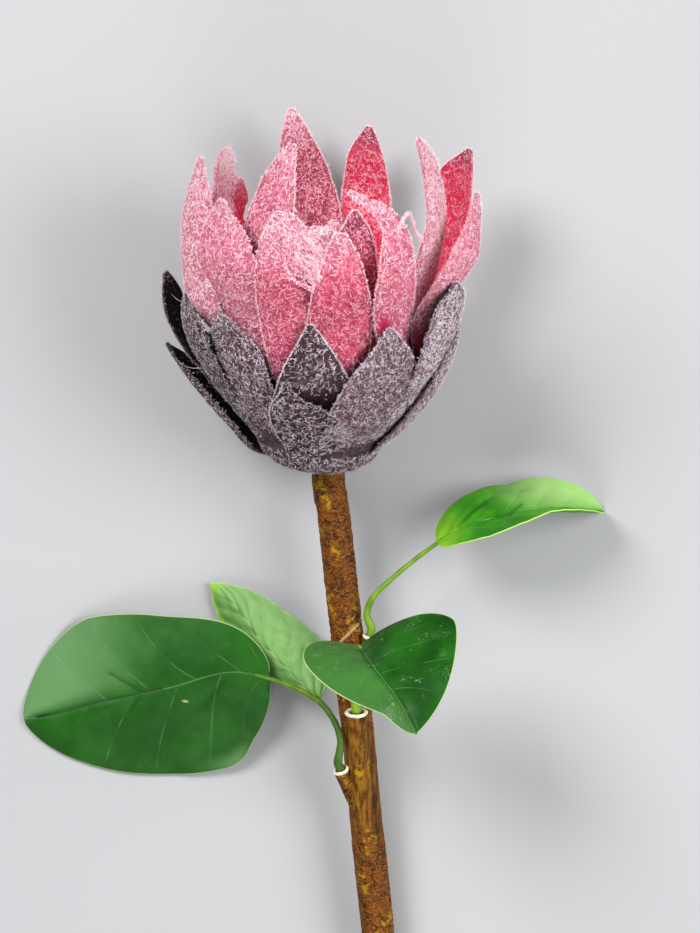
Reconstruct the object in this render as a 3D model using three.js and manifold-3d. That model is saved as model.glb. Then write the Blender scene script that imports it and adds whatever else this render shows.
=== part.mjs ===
// An artificial protea flower on its cut stem, lying on its back. Sizes are in millimetres.
// +X runs across the flower, +Y along the stem towards the bloom and +Z up from the table.
// The origin lies on the table under the middle of the whole flower.

import * as THREE from 'three';
import { mergeVertices } from 'three/addons/utils/BufferGeometryUtils.js';
import Module from 'manifold-3d';

const wasm = await Module();
wasm.setup();

// Bloom: the point where its axis leaves the cup, and how the axis leans
const BLOOM_BASE = [2.2, 45.7, 24.6];
const BLOOM_LEAN = 3.5;
const BLOOM_TILT = 20;

// Cup: outer profile of the bracts as radius and height along the bloom's axis
const CUP_PROFILE = [
  [12, -1], [15.5, 1.5], [19.2, 5.8], [24, 11.5], [28.8, 17], [33, 22.5], [37, 29.5], [40.4, 37.5],
  [41.8, 45], [42.2, 53], [42, 61], [41.5, 72],
];
const RECEPTACLE_PROFILE = [
  [0, -1.5], [10.5, -1.5], [15, 2.5], [19, 7.5], [24, 13.5], [28, 20], [26, 24.5], [0, 26],
];
const RECEPTACLE_SEGMENTS = 20;

// Half widths of a petal or bract at these places along it, from its root to its tip
const WIDTH_PLACES = [0, 0.25, 0.5, 0.75, 0.9, 1];
const TIP_HALF_WIDTH = 0.6;

// Bracts: turn from the front of the bloom, tip height, and half widths to the left and right as
// seen from outside. Some have an outward bend or a sideways lean of the tip, or a lift off the cup.
// A bract with its own rib has points of radius and height, and cup is the radius of its cross curve.
const BRACT_THICKNESS = 1.3;
const BRACT_TWIST = 3;
const BRACT_ROOT_HEIGHT = 1;
const BRACT_BEND_HEIGHT = 15;
const OUTER_BRACT_DEPTH = 0.65;
const INNER_BRACT_DEPTH = 2.1;
const BRACT_TIP_LENGTH = 5;
const BRACT_GRID = { columns: 4, cup: 0, twist: BRACT_TWIST };
const OUTER_BRACT_ROWS = 6;
const INNER_BRACT_ROWS = 7;
const PLAIN_BRACT = [7, 11.5, 14, 12.5, 7.5, 0.6];
const OUTER_BRACTS = [
  { turn: -15, height: 38.5, out: 2, left: [4, 5, 7.2, 6.2, 2.4, 0.7], right: [9, 15, 16, 9.5, 1.4, 0.7] },
  { turn: 80, height: 52, lift: 0.8, left: [8, 14, 17, 15.5, 9.5, 0.8] },
  {
    turn: -93, rib: [[12.5, 0.5], [19.7, 2.8], [29.5, 12.8], [40, 23.4], [51.3, 35]], cup: 13,
    left: [5, 8, 9, 8, 5.5, 0.8], right: [5, 8, 9, 8.5, 5.5, 0.8],
  },
  { turn: 150, height: 42, out: 1 },
  { turn: -150, height: 41, out: 1 },
];
const INNER_BRACTS = [
  { turn: -7, height: 57, lift: -0.8, left: [7, 9, 11, 7.4, 3.2, 0.6], right: [8, 12, 14.5, 11.4, 5.6, 0.8] },
  {
    turn: 26, height: 56.5, out: 0.5, lean: 2, lift: 0.5,
    left: [8, 10, 12.5, 9.3, 3.7, 0.7], right: [8, 14, 16, 13.8, 7.2, 0.8],
  },
  {
    turn: -52, height: 54.5, out: 1.5, lean: 1,
    left: [7, 10, 13, 11, 5.6, 0.8], right: [9, 13, 16, 16, 13, 1.5],
  },
  {
    turn: -80, rib: [[17, 4.5], [24, 12.5], [33, 23.5], [38.5, 31], [43.2, 39], [45.6, 47], [45.4, 56.5]],
    left: [6, 8, 10, 8.5, 6, 1], right: [8, 12, 15, 15, 11, 1.2],
  },
  {
    turn: -105, rib: [[16, 3], [24, 11.5], [34.5, 22.5], [46, 35], [52, 44.5], [55, 55.5]],
    left: [6, 9, 11, 10.5, 8, 1.2], right: [7, 11, 13, 12.5, 9, 1.5],
  },
  { turn: 59, height: 69, out: 6.5, left: [6, 9, 10.2, 10, 8, 0.8], right: [8, 13, 15, 15, 11.5, 1] },
  { turn: 110, height: 60, out: 1 },
  { turn: 148, height: 58, out: 1 },
  { turn: 182, height: 60, out: 1 },
  { turn: -143, height: 59, out: 2 },
];

// Petals: the same values, with the radii of the widest part and of the tip. Where a petal has no
// cup of its own, it's drawn between two radii.
const PETAL_THICKNESS = 1.3;
const PETAL_GRID = { columns: 4, rows: 9 };
const PETAL_CUP_RADII = [20, 28];
const PETAL_TWIST = 4;
const PETAL_SEED = 7;
const EDGE_THINNING = 0.65;
const OUTER_PETAL_ROOT = [[22, 29.2], [28.5, 31.5], [33.5, 37], [36, 44]];
const OUTER_SHOULDER = 37.6;
const INNER_PETAL_ROOT = [[17, 30], [23, 32], [28, 38], [31, 45]];
const INNER_SHOULDER = 33;
const SHOULDER_HEIGHT = 54;
const BELLY_RISE = 0.5;
const BEND_RISE = 0.78;
const BELLY_LEAN = 0.1;
const BEND_SHIFT = 0.45;
const PLAIN_PETAL = [4.3, 7.5, 9.6, 7.6, 4.3, 0.6];
const OUTER_PETALS = [
  {
    turn: -72, height: 101, belly: 47.9, tip: 43.6, shoulder: 41.5, cup: 14,
    left: [5, 5, 5, 6.8, 7.4, 1.4], right: [7, 11, 13, 14, 12, 1.2],
  },
  {
    turn: -54, height: 91, belly: 46, tip: 42, cup: 24,
    left: [9, 12, 11, 8, 4.4, 1], right: [10, 15, 18.5, 18.5, 11.5, 1],
  },
  {
    turn: -24, height: 91.5, belly: 42.5, tip: 40, lean: 0.5, cup: 15,
    left: [1, 2, 5.5, 5.5, 4.4, 1], right: [4, 8, 13, 14.5, 9, 1],
  },
  {
    turn: 4, height: 87, belly: 43.5, tip: 41, cup: 15,
    left: [6, 7.5, 8.4, 6.6, 3.8, 1.2], right: [8, 11, 12.3, 9.2, 5.8, 1.5],
  },
  {
    turn: 31, height: 98.7, belly: 43, tip: 33, lean: -14, bendLean: 0.12, cup: 16,
    left: [3, 1.5, 6.2, 4.5, 1.3, 0.6], right: [12, 14, 9.2, 5.5, 2, 0.6],
  },
  {
    turn: 67, height: 95.5, belly: 47.5, tip: 46.5, lean: 4, shoulder: 36.3, cup: 22,
    left: [7, 9, 12, 12, 4, 0.8], right: [6, 7, 6.5, 8, 6.5, 0.8],
  },
  { turn: 118, height: 100, belly: 45, tip: 48, left: [7, 8, 9, 8, 6, 0.8], right: [7, 10, 11, 12, 10, 1.2] },
  {
    turn: 168, height: 101, belly: 45, tip: 42, lean: -1,
    left: [6, 8, 10.5, 8, 4.6, 0.8], right: [5, 6, 6.3, 6.9, 5.2, 0.8],
  },
  {
    turn: -166, height: 105.5, belly: 45, tip: 42, lean: 6,
    left: [7, 9, 12.5, 8.5, 3.6, 0.8], right: [6, 8, 9, 7.5, 5, 0.8],
  },
  {
    turn: -127, height: 85, belly: 45, tip: 40.5,
    left: [7, 9, 10, 9.2, 7.6, 3], right: [7, 9, 9, 8, 6.5, 3],
  },
];
const INNER_PETALS = [
  {
    turn: -114, height: 97, belly: 40, tip: 39,
    left: [5, 6, 6.5, 4.5, 3, 0.8], right: [7, 9, 10.5, 11, 9.5, 1],
  },
  {
    turn: -42, height: 108, belly: 35.5, tip: 22, lean: 2, cup: 12,
    left: [5, 5, 5, 5, 4.6, 0.8], right: [6, 8, 10.5, 10.5, 5.5, 0.8],
  },
  { turn: -4, height: 88, belly: 38, tip: 38.5, left: [5, 8, 10, 9, 7, 2.5], right: [5, 8, 10, 9, 7, 2.5] },
  { turn: 11, height: 93, belly: 37, tip: 36, left: [5, 7, 8, 6.5, 4, 0.8], right: [5, 7, 9, 8, 5.5, 0.8] },
  {
    turn: 57, height: 114.5, belly: 38, tip: 36, lean: -10.5,
    left: [5, 5.5, 5.6, 2.4, 1, 0.5], right: [5, 6, 8.5, 11, 6.5, 0.8],
  },
  { turn: 140, height: 59, belly: 36, tip: 36 },
  { turn: 180, height: 70, belly: 36, tip: 36 },
];
const PETAL_FULL_RISE = 20;
const CORE_PROFILE = [[0, 26.4], [23, 26.4], [26.5, 28.5], [25, 33], [0, 33.6]];
const CORE_SEGMENTS = 18;

// Florets: a dome of slender spikes inside the cup
const FLORET_COUNT = 84;
const FLORET_LENGTH = 11;
const FLORET_RADIUS = 1.5;
const FLORET_SUNK = 5;
const FLORET_SPREAD = 22;
const DOME_PROFILE = [[0, 34], [17.5, 34], [19, 37], [18.6, 43], [16, 50], [9.5, 56], [0, 58.5]];
const DOME_TOP = 58;
const DOME_DROP = 18;
const DOME_RADIUS = 17;
const DOME_SEGMENTS = 16;

// Stem: its centre line from the cut end towards the bloom, and its neck under the cup
const STEM_RADIUS = 5.5;
const STEM_LINE = [
  [26.2, -156, 5.6], [21.4, -110, 9.4], [17.5, -73.3, 12.4], [15, -46.7, 14.6], [10.7, -7.2, 17.8],
  [8.9, 9.2, 19.2], [6.6, 29, 20.7],
];
const NECK_SIDE = 3.4;
const NECK_LENGTH = 6;
const NECK_GAP = 0.3;
const STEM_RINGS = 30;
const STEM_SIDES = 12;
const BARK_DEPTH = 0.35;
const BARK_LUMPS = { around: 3, along: 61, across: 97 };
const BARK_RIDGES = { around: 5, along: 23 };

// Sockets: where each stub leaves the stem, where it ends, and its radius
const SOCKETS = {
  collar_left: { from: [15, -71, 13.5], to: [9.6, -57, 20.2], radius: 2.4 },
  collar_right: { from: [15, -27, 18.4], to: [18.3, -13.5, 21.6], radius: 2.1 },
  collar_front: { from: [15.8, -80, 11.8], to: [14.3, -38, 24.9], radius: 3.4 },
};
const SOCKET_GAP = 0.3;
const SOCKET_SIDES = 10;
const STUB_TAPER = 0.8;
const COLLAR_HEIGHT = 1.3;
const COLLAR_FLARE = [0.95, 1.12, 0.9];

// Leaves: rib from base to tip, the direction of the first half, and for each half its width,
// where it is widest, how full its base and tip are, how far its lobe reaches back beside the
// petiole, and its rise in degrees at the base, in the middle and at the tip
const LEAF_THICKNESS = 0.8;
const LEAF_CURL = 6;
const LEAF_ROUNDNESS = 1.6;
const LEAF_ROWS = 10;
const LEAF_COLUMNS = 3;
const LEFT_LEAF = {
  rib: [[-14.4, -26, 15], [-28, -24.6, 14.6], [-46, -29.5, 12.5], [-72, -35.6, 7.5], [-96.2, -41.2, 1.4]],
  side: [0.15, -1, 0],
  halves: [
    { width: 33, peak: 0.32, base: 0.56, tip: 0.6, lobe: 0.32, rise: [-12, -14, -4] },
    { width: 28.5, peak: 0.66, base: 0.6, tip: 0.62, lobe: 0.2, rise: [4, -2, -4] },
  ],
};
const BACK_LEAF = {
  rib: [[1.7, -33.4, 13.5], [-7.5, -24.5, 12.6], [-17.2, -14.3, 10.5], [-25, -4, 6.8], [-34.2, 4.3, 2.4]],
  side: [0.8, 0.6, 0],
  halves: [
    { width: 15, peak: 0.36, base: 0.5, tip: 0.75, lobe: 0.2, rise: [-5, -10, -5] },
    { width: 12.5, peak: 0.4, base: 0.5, tip: 0.75, lobe: 0.2, rise: [-30, -32, -25] },
  ],
};
const RIGHT_LEAF = {
  rib: [[41.1, 18.5, 25], [48.6, 23.2, 25.6], [60, 26.4, 24.6], [76, 28.4, 18.5], [96.4, 28.4, 1.6]],
  side: [0, 1, 0],
  halves: [
    { width: 18.5, peak: 0.4, base: 0.46, tip: 0.6, lobe: 0.15, rise: [-50, -54, -10] },
    { width: 17, peak: 0.38, base: 0.5, tip: 0.7, lobe: 0.2, rise: [70, 92, 70] },
  ],
};
const FRONT_LEAF = {
  rib: [[15.2, -14.5, 45], [17.2, -16.8, 57], [21.5, -21.8, 69.5], [27.5, -29.4, 79.5], [32.4, -38.4, 84.6]],
  side: [0.93, 0.36, 0],
  halves: [
    { width: 29, peak: 0.44, base: 0.5, tip: 0.9, lobe: 0.1, rise: [26, 10, 2] },
    { width: 20.5, peak: 0.3, base: 0.45, tip: 1.1, lobe: 0.2, rise: [42, 22, 5] },
  ],
};

// Petioles: centre lines beyond the socket, with the radii at both ends
const LEFT_PETIOLE = {
  line: [[9.2, -47, 22], [8, -42, 20.8], [5.2, -37.3, 18], [1.2, -33, 15]],
  radii: [1.8, 1.5],
};
const LEFT_LEAF_STALK = {
  line: [[2.6, -34.4, 15.8], [-4.2, -30.3, 14.6], [-9.5, -28.2, 14.6], [-19, -25.3, 14.7]],
  radii: [1.4, 0.8],
};
const BACK_LEAF_STALK = {
  line: [[5.2, -37.3, 18], [1.7, -33.4, 14.2], [-1.4, -30.6, 13.1]],
  radii: [1.3, 0.8],
};
const RIGHT_PETIOLE = {
  line: [
    [17.8, -5, 23.4], [20, 0.3, 24.6], [25.8, 6.5, 25.6], [32.3, 12, 25.7], [41.1, 18.5, 25], [45, 21, 25.2],
  ],
  radii: [1.7, 0.8],
};
const FRONT_PETIOLE = {
  line: [[14.9, -27, 29.5], [15.1, -18.5, 37], [15.2, -14.6, 45], [15.8, -15.2, 49]],
  radii: [1.8, 0.9],
};
const PETIOLE_SIDES = 7;
const PETIOLE_FOOT = 2;

// A block over the table, larger than the whole flower
const ABOVE_TABLE = { width: 600, height: 300 };

// Colours
const BARK = { color: 0x6b3f1d, roughness: 0.8, metalness: 0 };
const CREAM = { color: 0xd9cfae, roughness: 0.5, metalness: 0 };
const LEAF_GREEN = { color: 0x2c6b27, roughness: 0.35, metalness: 0 };
const FLOCK_GREY = { color: 0x6f6670, roughness: 0.95, metalness: 0 };
const FLOCK_PINK = { color: 0xc9546d, roughness: 0.95, metalness: 0 };
const FLORET_RED = { color: 0x7a1730, roughness: 0.9, metalness: 0 };

const degrees = THREE.MathUtils.degToRad;
const lerp = THREE.MathUtils.lerp;

function vector([x, y, z]) {
  return new THREE.Vector3(x, y, z);
}

function smoothCurve(points) {
  return new THREE.CatmullRomCurve3(points.map(vector), false, 'centripetal');
}

// Repeatable random numbers between 0 and 1
function randomSource(seed) {
  let state = seed;
  return () => {
    state = (state * 1664525 + 1013904223) % 4294967296;
    return state / 4294967296;
  };
}

// The value at a place from 0 to 1 between the start, middle and end values of something
function between([start, middle, end], t) {
  return t < 0.5 ? lerp(start, middle, t * 2) : lerp(middle, end, t * 2 - 1);
}

function geometryFrom(positions, index) {
  const geometry = new THREE.BufferGeometry();
  geometry.setAttribute('position', new THREE.Float32BufferAttribute(positions, 3));
  geometry.setIndex(index);
  return geometry;
}

// The direction out of a grid of points at one of them
function gridNormal(grid, i, j) {
  const row = grid[i];
  const across = row[Math.min(j + 1, row.length - 1)].clone().sub(row[Math.max(j - 1, 0)]);
  const lengthways = grid[Math.min(i + 1, grid.length - 1)][j].clone().sub(grid[Math.max(i - 1, 0)][j]);
  return across.cross(lengthways).normalize();
}

// A closed blade round a grid of points on its middle surface, split alike on both faces
function bladeGeometry(grid, thicknessAt) {
  const last = grid.length - 1;
  const edge = grid[0].length - 1;
  const face = grid.length * (edge + 1);
  const positions = [];
  for (const side of [0.5, -0.5]) {
    grid.forEach((row, i) => row.forEach((point, j) => {
      const offset = gridNormal(grid, i, j).multiplyScalar(side * thicknessAt(i, j));
      positions.push(...point.clone().add(offset).toArray());
    }));
  }
  const at = (i, j) => i * (edge + 1) + j;
  const index = [];
  for (let i = 0; i < last; i += 1) {
    for (let j = 0; j < edge; j += 1) {
      const [a, b, c, d] = [at(i, j), at(i, j + 1), at(i + 1, j + 1), at(i + 1, j)];
      const corners = j < edge / 2 ? [a, b, c, a, c, d] : [a, b, d, b, c, d];
      index.push(...corners);
      index.push(...corners.map((corner) => corner + face).reverse());
    }
  }
  const rim = [];
  for (let j = 0; j < edge; j += 1) rim.push(at(0, j));
  for (let i = 0; i < last; i += 1) rim.push(at(i, edge));
  for (let j = edge; j > 0; j -= 1) rim.push(at(last, j));
  for (let i = last; i > 0; i -= 1) rim.push(at(i, 0));
  rim.forEach((a, k) => {
    const b = rim[(k + 1) % rim.length];
    index.push(b, a, a + face, b, a + face, b + face);
  });
  return geometryFrom(positions, index);
}

// A closed body through rings of points, with a flat cap at each end
function ringGeometry(rings) {
  const sides = rings[0].length;
  const positions = rings.flatMap((ring) => ring.flatMap((point) => point.toArray()));
  const index = [];
  for (let i = 0; i < rings.length - 1; i += 1) {
    for (let k = 0; k < sides; k += 1) {
      const next = (k + 1) % sides;
      const [a, b] = [i * sides + k, i * sides + next];
      index.push(a, b, b + sides, a, b + sides, a + sides);
    }
  }
  const end = (rings.length - 1) * sides;
  for (let k = 1; k < sides - 1; k += 1) {
    index.push(0, k + 1, k);
    index.push(end, end + k, end + k + 1);
  }
  return geometryFrom(positions, index);
}

// A round bar along a curve; radiusAt gives the radius at a place along it and an angle round it
function barGeometry(curve, ringCount, sides, radiusAt) {
  const frames = curve.computeFrenetFrames(ringCount - 1, false);
  const rings = [];
  for (let i = 0; i < ringCount; i += 1) {
    const t = i / (ringCount - 1);
    const centre = curve.getPointAt(t);
    const ring = [];
    for (let k = 0; k < sides; k += 1) {
      const angle = (k / sides) * Math.PI * 2;
      const radius = radiusAt(t, angle);
      ring.push(centre.clone()
        .addScaledVector(frames.normals[i], radius * Math.cos(angle))
        .addScaledVector(frames.binormals[i], radius * Math.sin(angle)));
    }
    rings.push(ring);
  }
  return ringGeometry(rings);
}

function solidFrom(geometry) {
  const bare = geometry.clone();
  bare.deleteAttribute('normal');
  bare.deleteAttribute('uv');
  const merged = mergeVertices(bare);
  return new wasm.Manifold(new wasm.Mesh({
    numProp: 3,
    vertProperties: Float32Array.from(merged.attributes.position.array),
    triVerts: Uint32Array.from(merged.index.array),
  }));
}

// One body out of several that overlap, without sealed hollows or loose scraps
function joined(geometries) {
  return largest(geometries.map(solidFrom).reduce((whole, solid) => whole.add(solid)));
}

function largest(solid) {
  return solid.decompose().sort((a, b) => b.volume() - a.volume())[0];
}

function meshFrom(name, solid, look) {
  const { vertProperties, triVerts } = solid.getMesh();
  const geometry = geometryFrom(Array.from(vertProperties), Array.from(triVerts));
  geometry.computeVertexNormals();
  const mesh = new THREE.Mesh(geometry, new THREE.MeshStandardMaterial(look));
  mesh.name = name;
  return mesh;
}

function turned(profile, segments) {
  return new THREE.LatheGeometry(profile.map(([r, s]) => new THREE.Vector2(r, s)), segments)
    .rotateX(Math.PI / 2);
}

// Placing of the upright bloom, whose front is -Y, on the lying stem
function bloomMatrix() {
  const lean = degrees(BLOOM_LEAN);
  const tilt = degrees(BLOOM_TILT);
  const flat = Math.cos(tilt);
  const axis = new THREE.Vector3(Math.sin(lean) * flat, Math.cos(lean) * flat, Math.sin(tilt));
  const right = new THREE.Vector3().crossVectors(axis, new THREE.Vector3(0, 0, 1)).normalize();
  const back = new THREE.Vector3().crossVectors(axis, right);
  return new THREE.Matrix4().makeBasis(right, back, axis).setPosition(...BLOOM_BASE);
}

// The cup's profile moved inwards by a depth, as points of radius and height
function cupLine(depth) {
  const curve = smoothCurve(CUP_PROFILE.map(([r, s]) => [r, 0, s]));
  return CUP_PROFILE.map((unused, k) => {
    const t = k / (CUP_PROFILE.length - 1);
    const point = curve.getPoint(t);
    const tangent = curve.getTangent(t);
    return [point.x - depth * tangent.z, point.z + depth * tangent.x];
  });
}

// Rib of a bract: its own line, or one that hugs the cup and bends outwards and sideways to its tip
function bractRib({ rib, height, out = 0, lean = 0, lift = 0 }, depth) {
  if (rib) return rib.map(([r, s]) => [r, 0, s]);
  const line = cupLine(depth).filter(([, s]) => s > BRACT_ROOT_HEIGHT && s < height - BRACT_TIP_LENGTH);
  const cup = smoothCurve(cupLine(depth).map(([r, s]) => [r, 0, s]));
  const tipRadius = radiusAtHeight(cup, height);
  return [...line, [tipRadius, height]].map(([r, s]) => {
    const bend = Math.max(0, (s - BRACT_BEND_HEIGHT) / (height - BRACT_BEND_HEIGHT)) ** 2;
    const raised = lift * THREE.MathUtils.clamp(s / BRACT_BEND_HEIGHT, 0, 1);
    return [r + raised + out * bend, lean * bend, s];
  });
}

function radiusAtHeight(curve, height) {
  const steps = 200;
  for (let k = 0; k < steps; k += 1) {
    const point = curve.getPoint(k / steps);
    if (point.z >= height) return point.x;
  }
  return curve.getPoint(1).x;
}

// Rib of a petal: up from its root, out to its belly and on to its tip
function petalRib({ height, belly, tip, lean = 0, bendLean = BEND_SHIFT, shoulder }, root) {
  const rise = height - SHOULDER_HEIGHT;
  const line = root.map(([r, s]) => [r, 0, s]);
  if (rise > PETAL_FULL_RISE) {
    line.push([shoulder, 0, SHOULDER_HEIGHT]);
    line.push([belly, lean * BELLY_LEAN, SHOULDER_HEIGHT + rise * BELLY_RISE]);
    line.push([lerp(belly, tip, BEND_SHIFT), lean * bendLean, SHOULDER_HEIGHT + rise * BEND_RISE]);
  }
  line.push([tip, lean, height]);
  return line;
}

// Grid of a petal or bract, seen from outside, from its right edge to its left
function petalGrid(rib, { left, right, cup, twist, rows, columns, turn }) {
  const curve = smoothCurve(rib);
  const spin = new THREE.Matrix4().makeRotationZ(degrees(turn - 90));
  const grid = [];
  for (let i = 0; i <= rows; i += 1) {
    const t = i / rows;
    const point = curve.getPointAt(t);
    const tangent = curve.getTangentAt(t);
    const out = new THREE.Vector3(tangent.z, 0, -tangent.x).normalize();
    const across = new THREE.Vector3().crossVectors(out, tangent).normalize();
    out.applyAxisAngle(tangent, degrees(twist));
    across.applyAxisAngle(tangent, degrees(twist));
    const bend = cup > 0 ? cup : point.x / Math.max(out.x, 0.35);
    const row = [];
    for (let j = 0; j <= columns; j += 1) {
      const side = (j / columns) * 2 - 1;
      const angle = side * (halfWidthAt(side < 0 ? right : left, t) / bend);
      const place = point.clone()
        .addScaledVector(across, bend * Math.sin(angle))
        .addScaledVector(out, -bend * (1 - Math.cos(angle)));
      row.push(place.applyMatrix4(spin));
    }
    grid.push(row);
  }
  return grid;
}

function halfWidthAt(halves, t) {
  const k = Math.max(1, WIDTH_PLACES.findIndex((place) => place >= t));
  const share = (t - WIDTH_PLACES[k - 1]) / (WIDTH_PLACES[k] - WIDTH_PLACES[k - 1]);
  return Math.max(TIP_HALF_WIDTH, lerp(halves[k - 1], halves[k], share));
}

function petalGeometry(rib, look, thickness) {
  return bladeGeometry(petalGrid(rib, look), (i, j) => {
    const side = Math.abs((j / look.columns) * 2 - 1);
    const tip = i / look.rows;
    return thickness * lerp(1, EDGE_THINNING, Math.max(side ** 2, tip ** 4));
  });
}

function bracts() {
  const pieces = [turned(RECEPTACLE_PROFILE, RECEPTACLE_SEGMENTS)];
  const rows = [
    [OUTER_BRACTS, OUTER_BRACT_DEPTH, OUTER_BRACT_ROWS],
    [INNER_BRACTS, INNER_BRACT_DEPTH, INNER_BRACT_ROWS],
  ];
  for (const [row, depth, gridRows] of rows) {
    for (const bract of row) {
      const look = { left: PLAIN_BRACT, right: PLAIN_BRACT, ...BRACT_GRID, ...bract, rows: gridRows };
      pieces.push(petalGeometry(bractRib(bract, depth), look, BRACT_THICKNESS));
    }
  }
  return pieces;
}

function petals() {
  const random = randomSource(PETAL_SEED);
  const pieces = [turned(CORE_PROFILE, CORE_SEGMENTS)];
  const rows = [
    [OUTER_PETALS, OUTER_PETAL_ROOT, OUTER_SHOULDER],
    [INNER_PETALS, INNER_PETAL_ROOT, INNER_SHOULDER],
  ];
  for (const [row, root, shoulder] of rows) {
    for (const petal of row) {
      const cup = lerp(...PETAL_CUP_RADII, random());
      const twist = lerp(-PETAL_TWIST, PETAL_TWIST, random());
      const look = { left: PLAIN_PETAL, right: PLAIN_PETAL, cup, twist, ...PETAL_GRID, ...petal };
      pieces.push(petalGeometry(petalRib({ shoulder, ...petal }, root), look, PETAL_THICKNESS));
    }
  }
  return pieces;
}

// Slender three-sided spikes placed round the dome by the golden angle
function florets() {
  const golden = Math.PI * (3 - Math.sqrt(5));
  const pieces = [turned(DOME_PROFILE, DOME_SEGMENTS)];
  for (let k = 0; k < FLORET_COUNT; k += 1) {
    const spread = Math.sqrt((k + 0.5) / FLORET_COUNT);
    const spike = new THREE.ConeGeometry(FLORET_RADIUS, FLORET_LENGTH, 3);
    spike.translate(0, FLORET_LENGTH / 2 - FLORET_SUNK, 0);
    spike.rotateX(Math.PI / 2);
    spike.rotateY(degrees(FLORET_SPREAD * spread));
    spike.translate(DOME_RADIUS * spread, 0, DOME_TOP - DOME_DROP * spread ** 3);
    spike.rotateZ(k * golden);
    pieces.push(spike);
  }
  return pieces;
}

function placedBloom(geometries) {
  const matrix = bloomMatrix();
  return joined(geometries.map((geometry) => geometry.applyMatrix4(matrix)));
}

// What lies under the table is cut away, which leaves the small flat spot that the bloom rests on
function aboveTable(solid) {
  const { width, height } = ABOVE_TABLE;
  const block = new THREE.BoxGeometry(width, width, height).translate(0, 0, height / 2);
  return largest(solid.intersect(solidFrom(block)));
}

// The stem's radius with the lumps and the slanting ridges of its bark
function barkRadius(t, angle) {
  const { around, along, across } = BARK_LUMPS;
  const lumps = Math.sin(angle * around + t * along) * Math.sin(t * across + angle);
  const ridges = Math.sin(angle * BARK_RIDGES.around - t * BARK_RIDGES.along);
  return STEM_RADIUS - BARK_DEPTH * (0.5 + 0.3 * lumps + 0.2 * ridges);
}

// The stem's centre line ends in a neck that stands square under the cup
function stemCurve() {
  const matrix = bloomMatrix();
  const top = RECEPTACLE_PROFILE[0][1] - NECK_GAP;
  const neck = [top - NECK_LENGTH, top].map((s) => vector([NECK_SIDE, 0, s]).applyMatrix4(matrix).toArray());
  return smoothCurve([...STEM_LINE, ...neck]);
}

function stem() {
  const pieces = [barGeometry(stemCurve(), STEM_RINGS, STEM_SIDES, barkRadius)];
  for (const { from, to, radius } of Object.values(SOCKETS)) {
    const line = new THREE.LineCurve3(vector(from), vector(to));
    pieces.push(barGeometry(line, 3, SOCKET_SIDES, (t) => lerp(radius * STUB_TAPER, radius, t)));
  }
  return joined(pieces);
}

// A place on the line of a socket, at a distance beyond the end of its stub
function beyondSocket({ from, to }, distance) {
  const axis = vector(to).sub(vector(from)).normalize();
  return vector(to).addScaledVector(axis, distance);
}

// A solid lip that flares over the end of its stub
function collar(socket) {
  const start = beyondSocket(socket, SOCKET_GAP);
  const end = beyondSocket(socket, SOCKET_GAP + COLLAR_HEIGHT);
  const flare = (t) => socket.radius * between(COLLAR_FLARE, t);
  return solidFrom(barGeometry(new THREE.LineCurve3(start, end), 3, SOCKET_SIDES, flare));
}

function leafOutline(t, { peak, base, tip }) {
  const share = t < peak ? 1 - t / peak : (t - peak) / (1 - peak);
  return (1 - share ** LEAF_ROUNDNESS) ** (t < peak ? base : tip);
}

// Grid of a leaf: each half rises or hangs from the rib by its own angles
function leafGrid({ rib, side, halves }) {
  const curve = smoothCurve(rib);
  const grid = [];
  for (let i = 0; i <= LEAF_ROWS; i += 1) {
    const t = 0.5 - 0.5 * Math.cos((i / LEAF_ROWS) * Math.PI);
    const point = curve.getPointAt(t);
    const tangent = curve.getTangentAt(t);
    const across = vector(side).addScaledVector(tangent, -vector(side).dot(tangent)).normalize();
    const up = new THREE.Vector3().crossVectors(across, tangent).normalize();
    if (up.z < 0) up.negate();
    const row = [];
    for (let j = -LEAF_COLUMNS; j <= LEAF_COLUMNS; j += 1) {
      const half = halves[j > 0 ? 0 : 1];
      const reach = Math.abs(j / LEAF_COLUMNS);
      const width = Math.max(TIP_HALF_WIDTH, half.width * leafOutline(t, half)) * reach;
      const rise = degrees(between(half.rise, t) - LEAF_CURL * reach);
      row.push(point.clone()
        .addScaledVector(tangent, -half.lobe * width * (1 - t) ** 3)
        .addScaledVector(across, Math.sign(j) * width * Math.cos(rise))
        .addScaledVector(up, width * Math.sin(rise)));
    }
    grid.push(row);
  }
  return grid;
}

function leafGeometry(leaf) {
  return bladeGeometry(leafGrid(leaf), () => LEAF_THICKNESS);
}

// A round bar through some points, from one radius to another
function barAlong({ line, radii }) {
  return barGeometry(smoothCurve(line), line.length * 2, PETIOLE_SIDES, (t) => lerp(...radii, t));
}

// A petiole leaves its collar square, a small gap above it
function petioleGeometry(socket, { line, radii }) {
  const start = SOCKET_GAP + COLLAR_HEIGHT + SOCKET_GAP;
  const foot = [start, start + PETIOLE_FOOT].map((distance) => beyondSocket(socket, distance).toArray());
  return barAlong({ line: [...foot, ...line], radii });
}

function leftSprig() {
  return joined([
    petioleGeometry(SOCKETS.collar_left, LEFT_PETIOLE),
    barAlong(LEFT_LEAF_STALK),
    barAlong(BACK_LEAF_STALK),
    leafGeometry(LEFT_LEAF),
    leafGeometry(BACK_LEAF),
  ]);
}

function stalkedLeaf(socket, petiole, leaf) {
  return joined([petioleGeometry(socket, petiole), leafGeometry(leaf)]);
}

const rightLeaf = stalkedLeaf(SOCKETS.collar_right, RIGHT_PETIOLE, RIGHT_LEAF);
const frontLeaf = stalkedLeaf(SOCKETS.collar_front, FRONT_PETIOLE, FRONT_LEAF);

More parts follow.
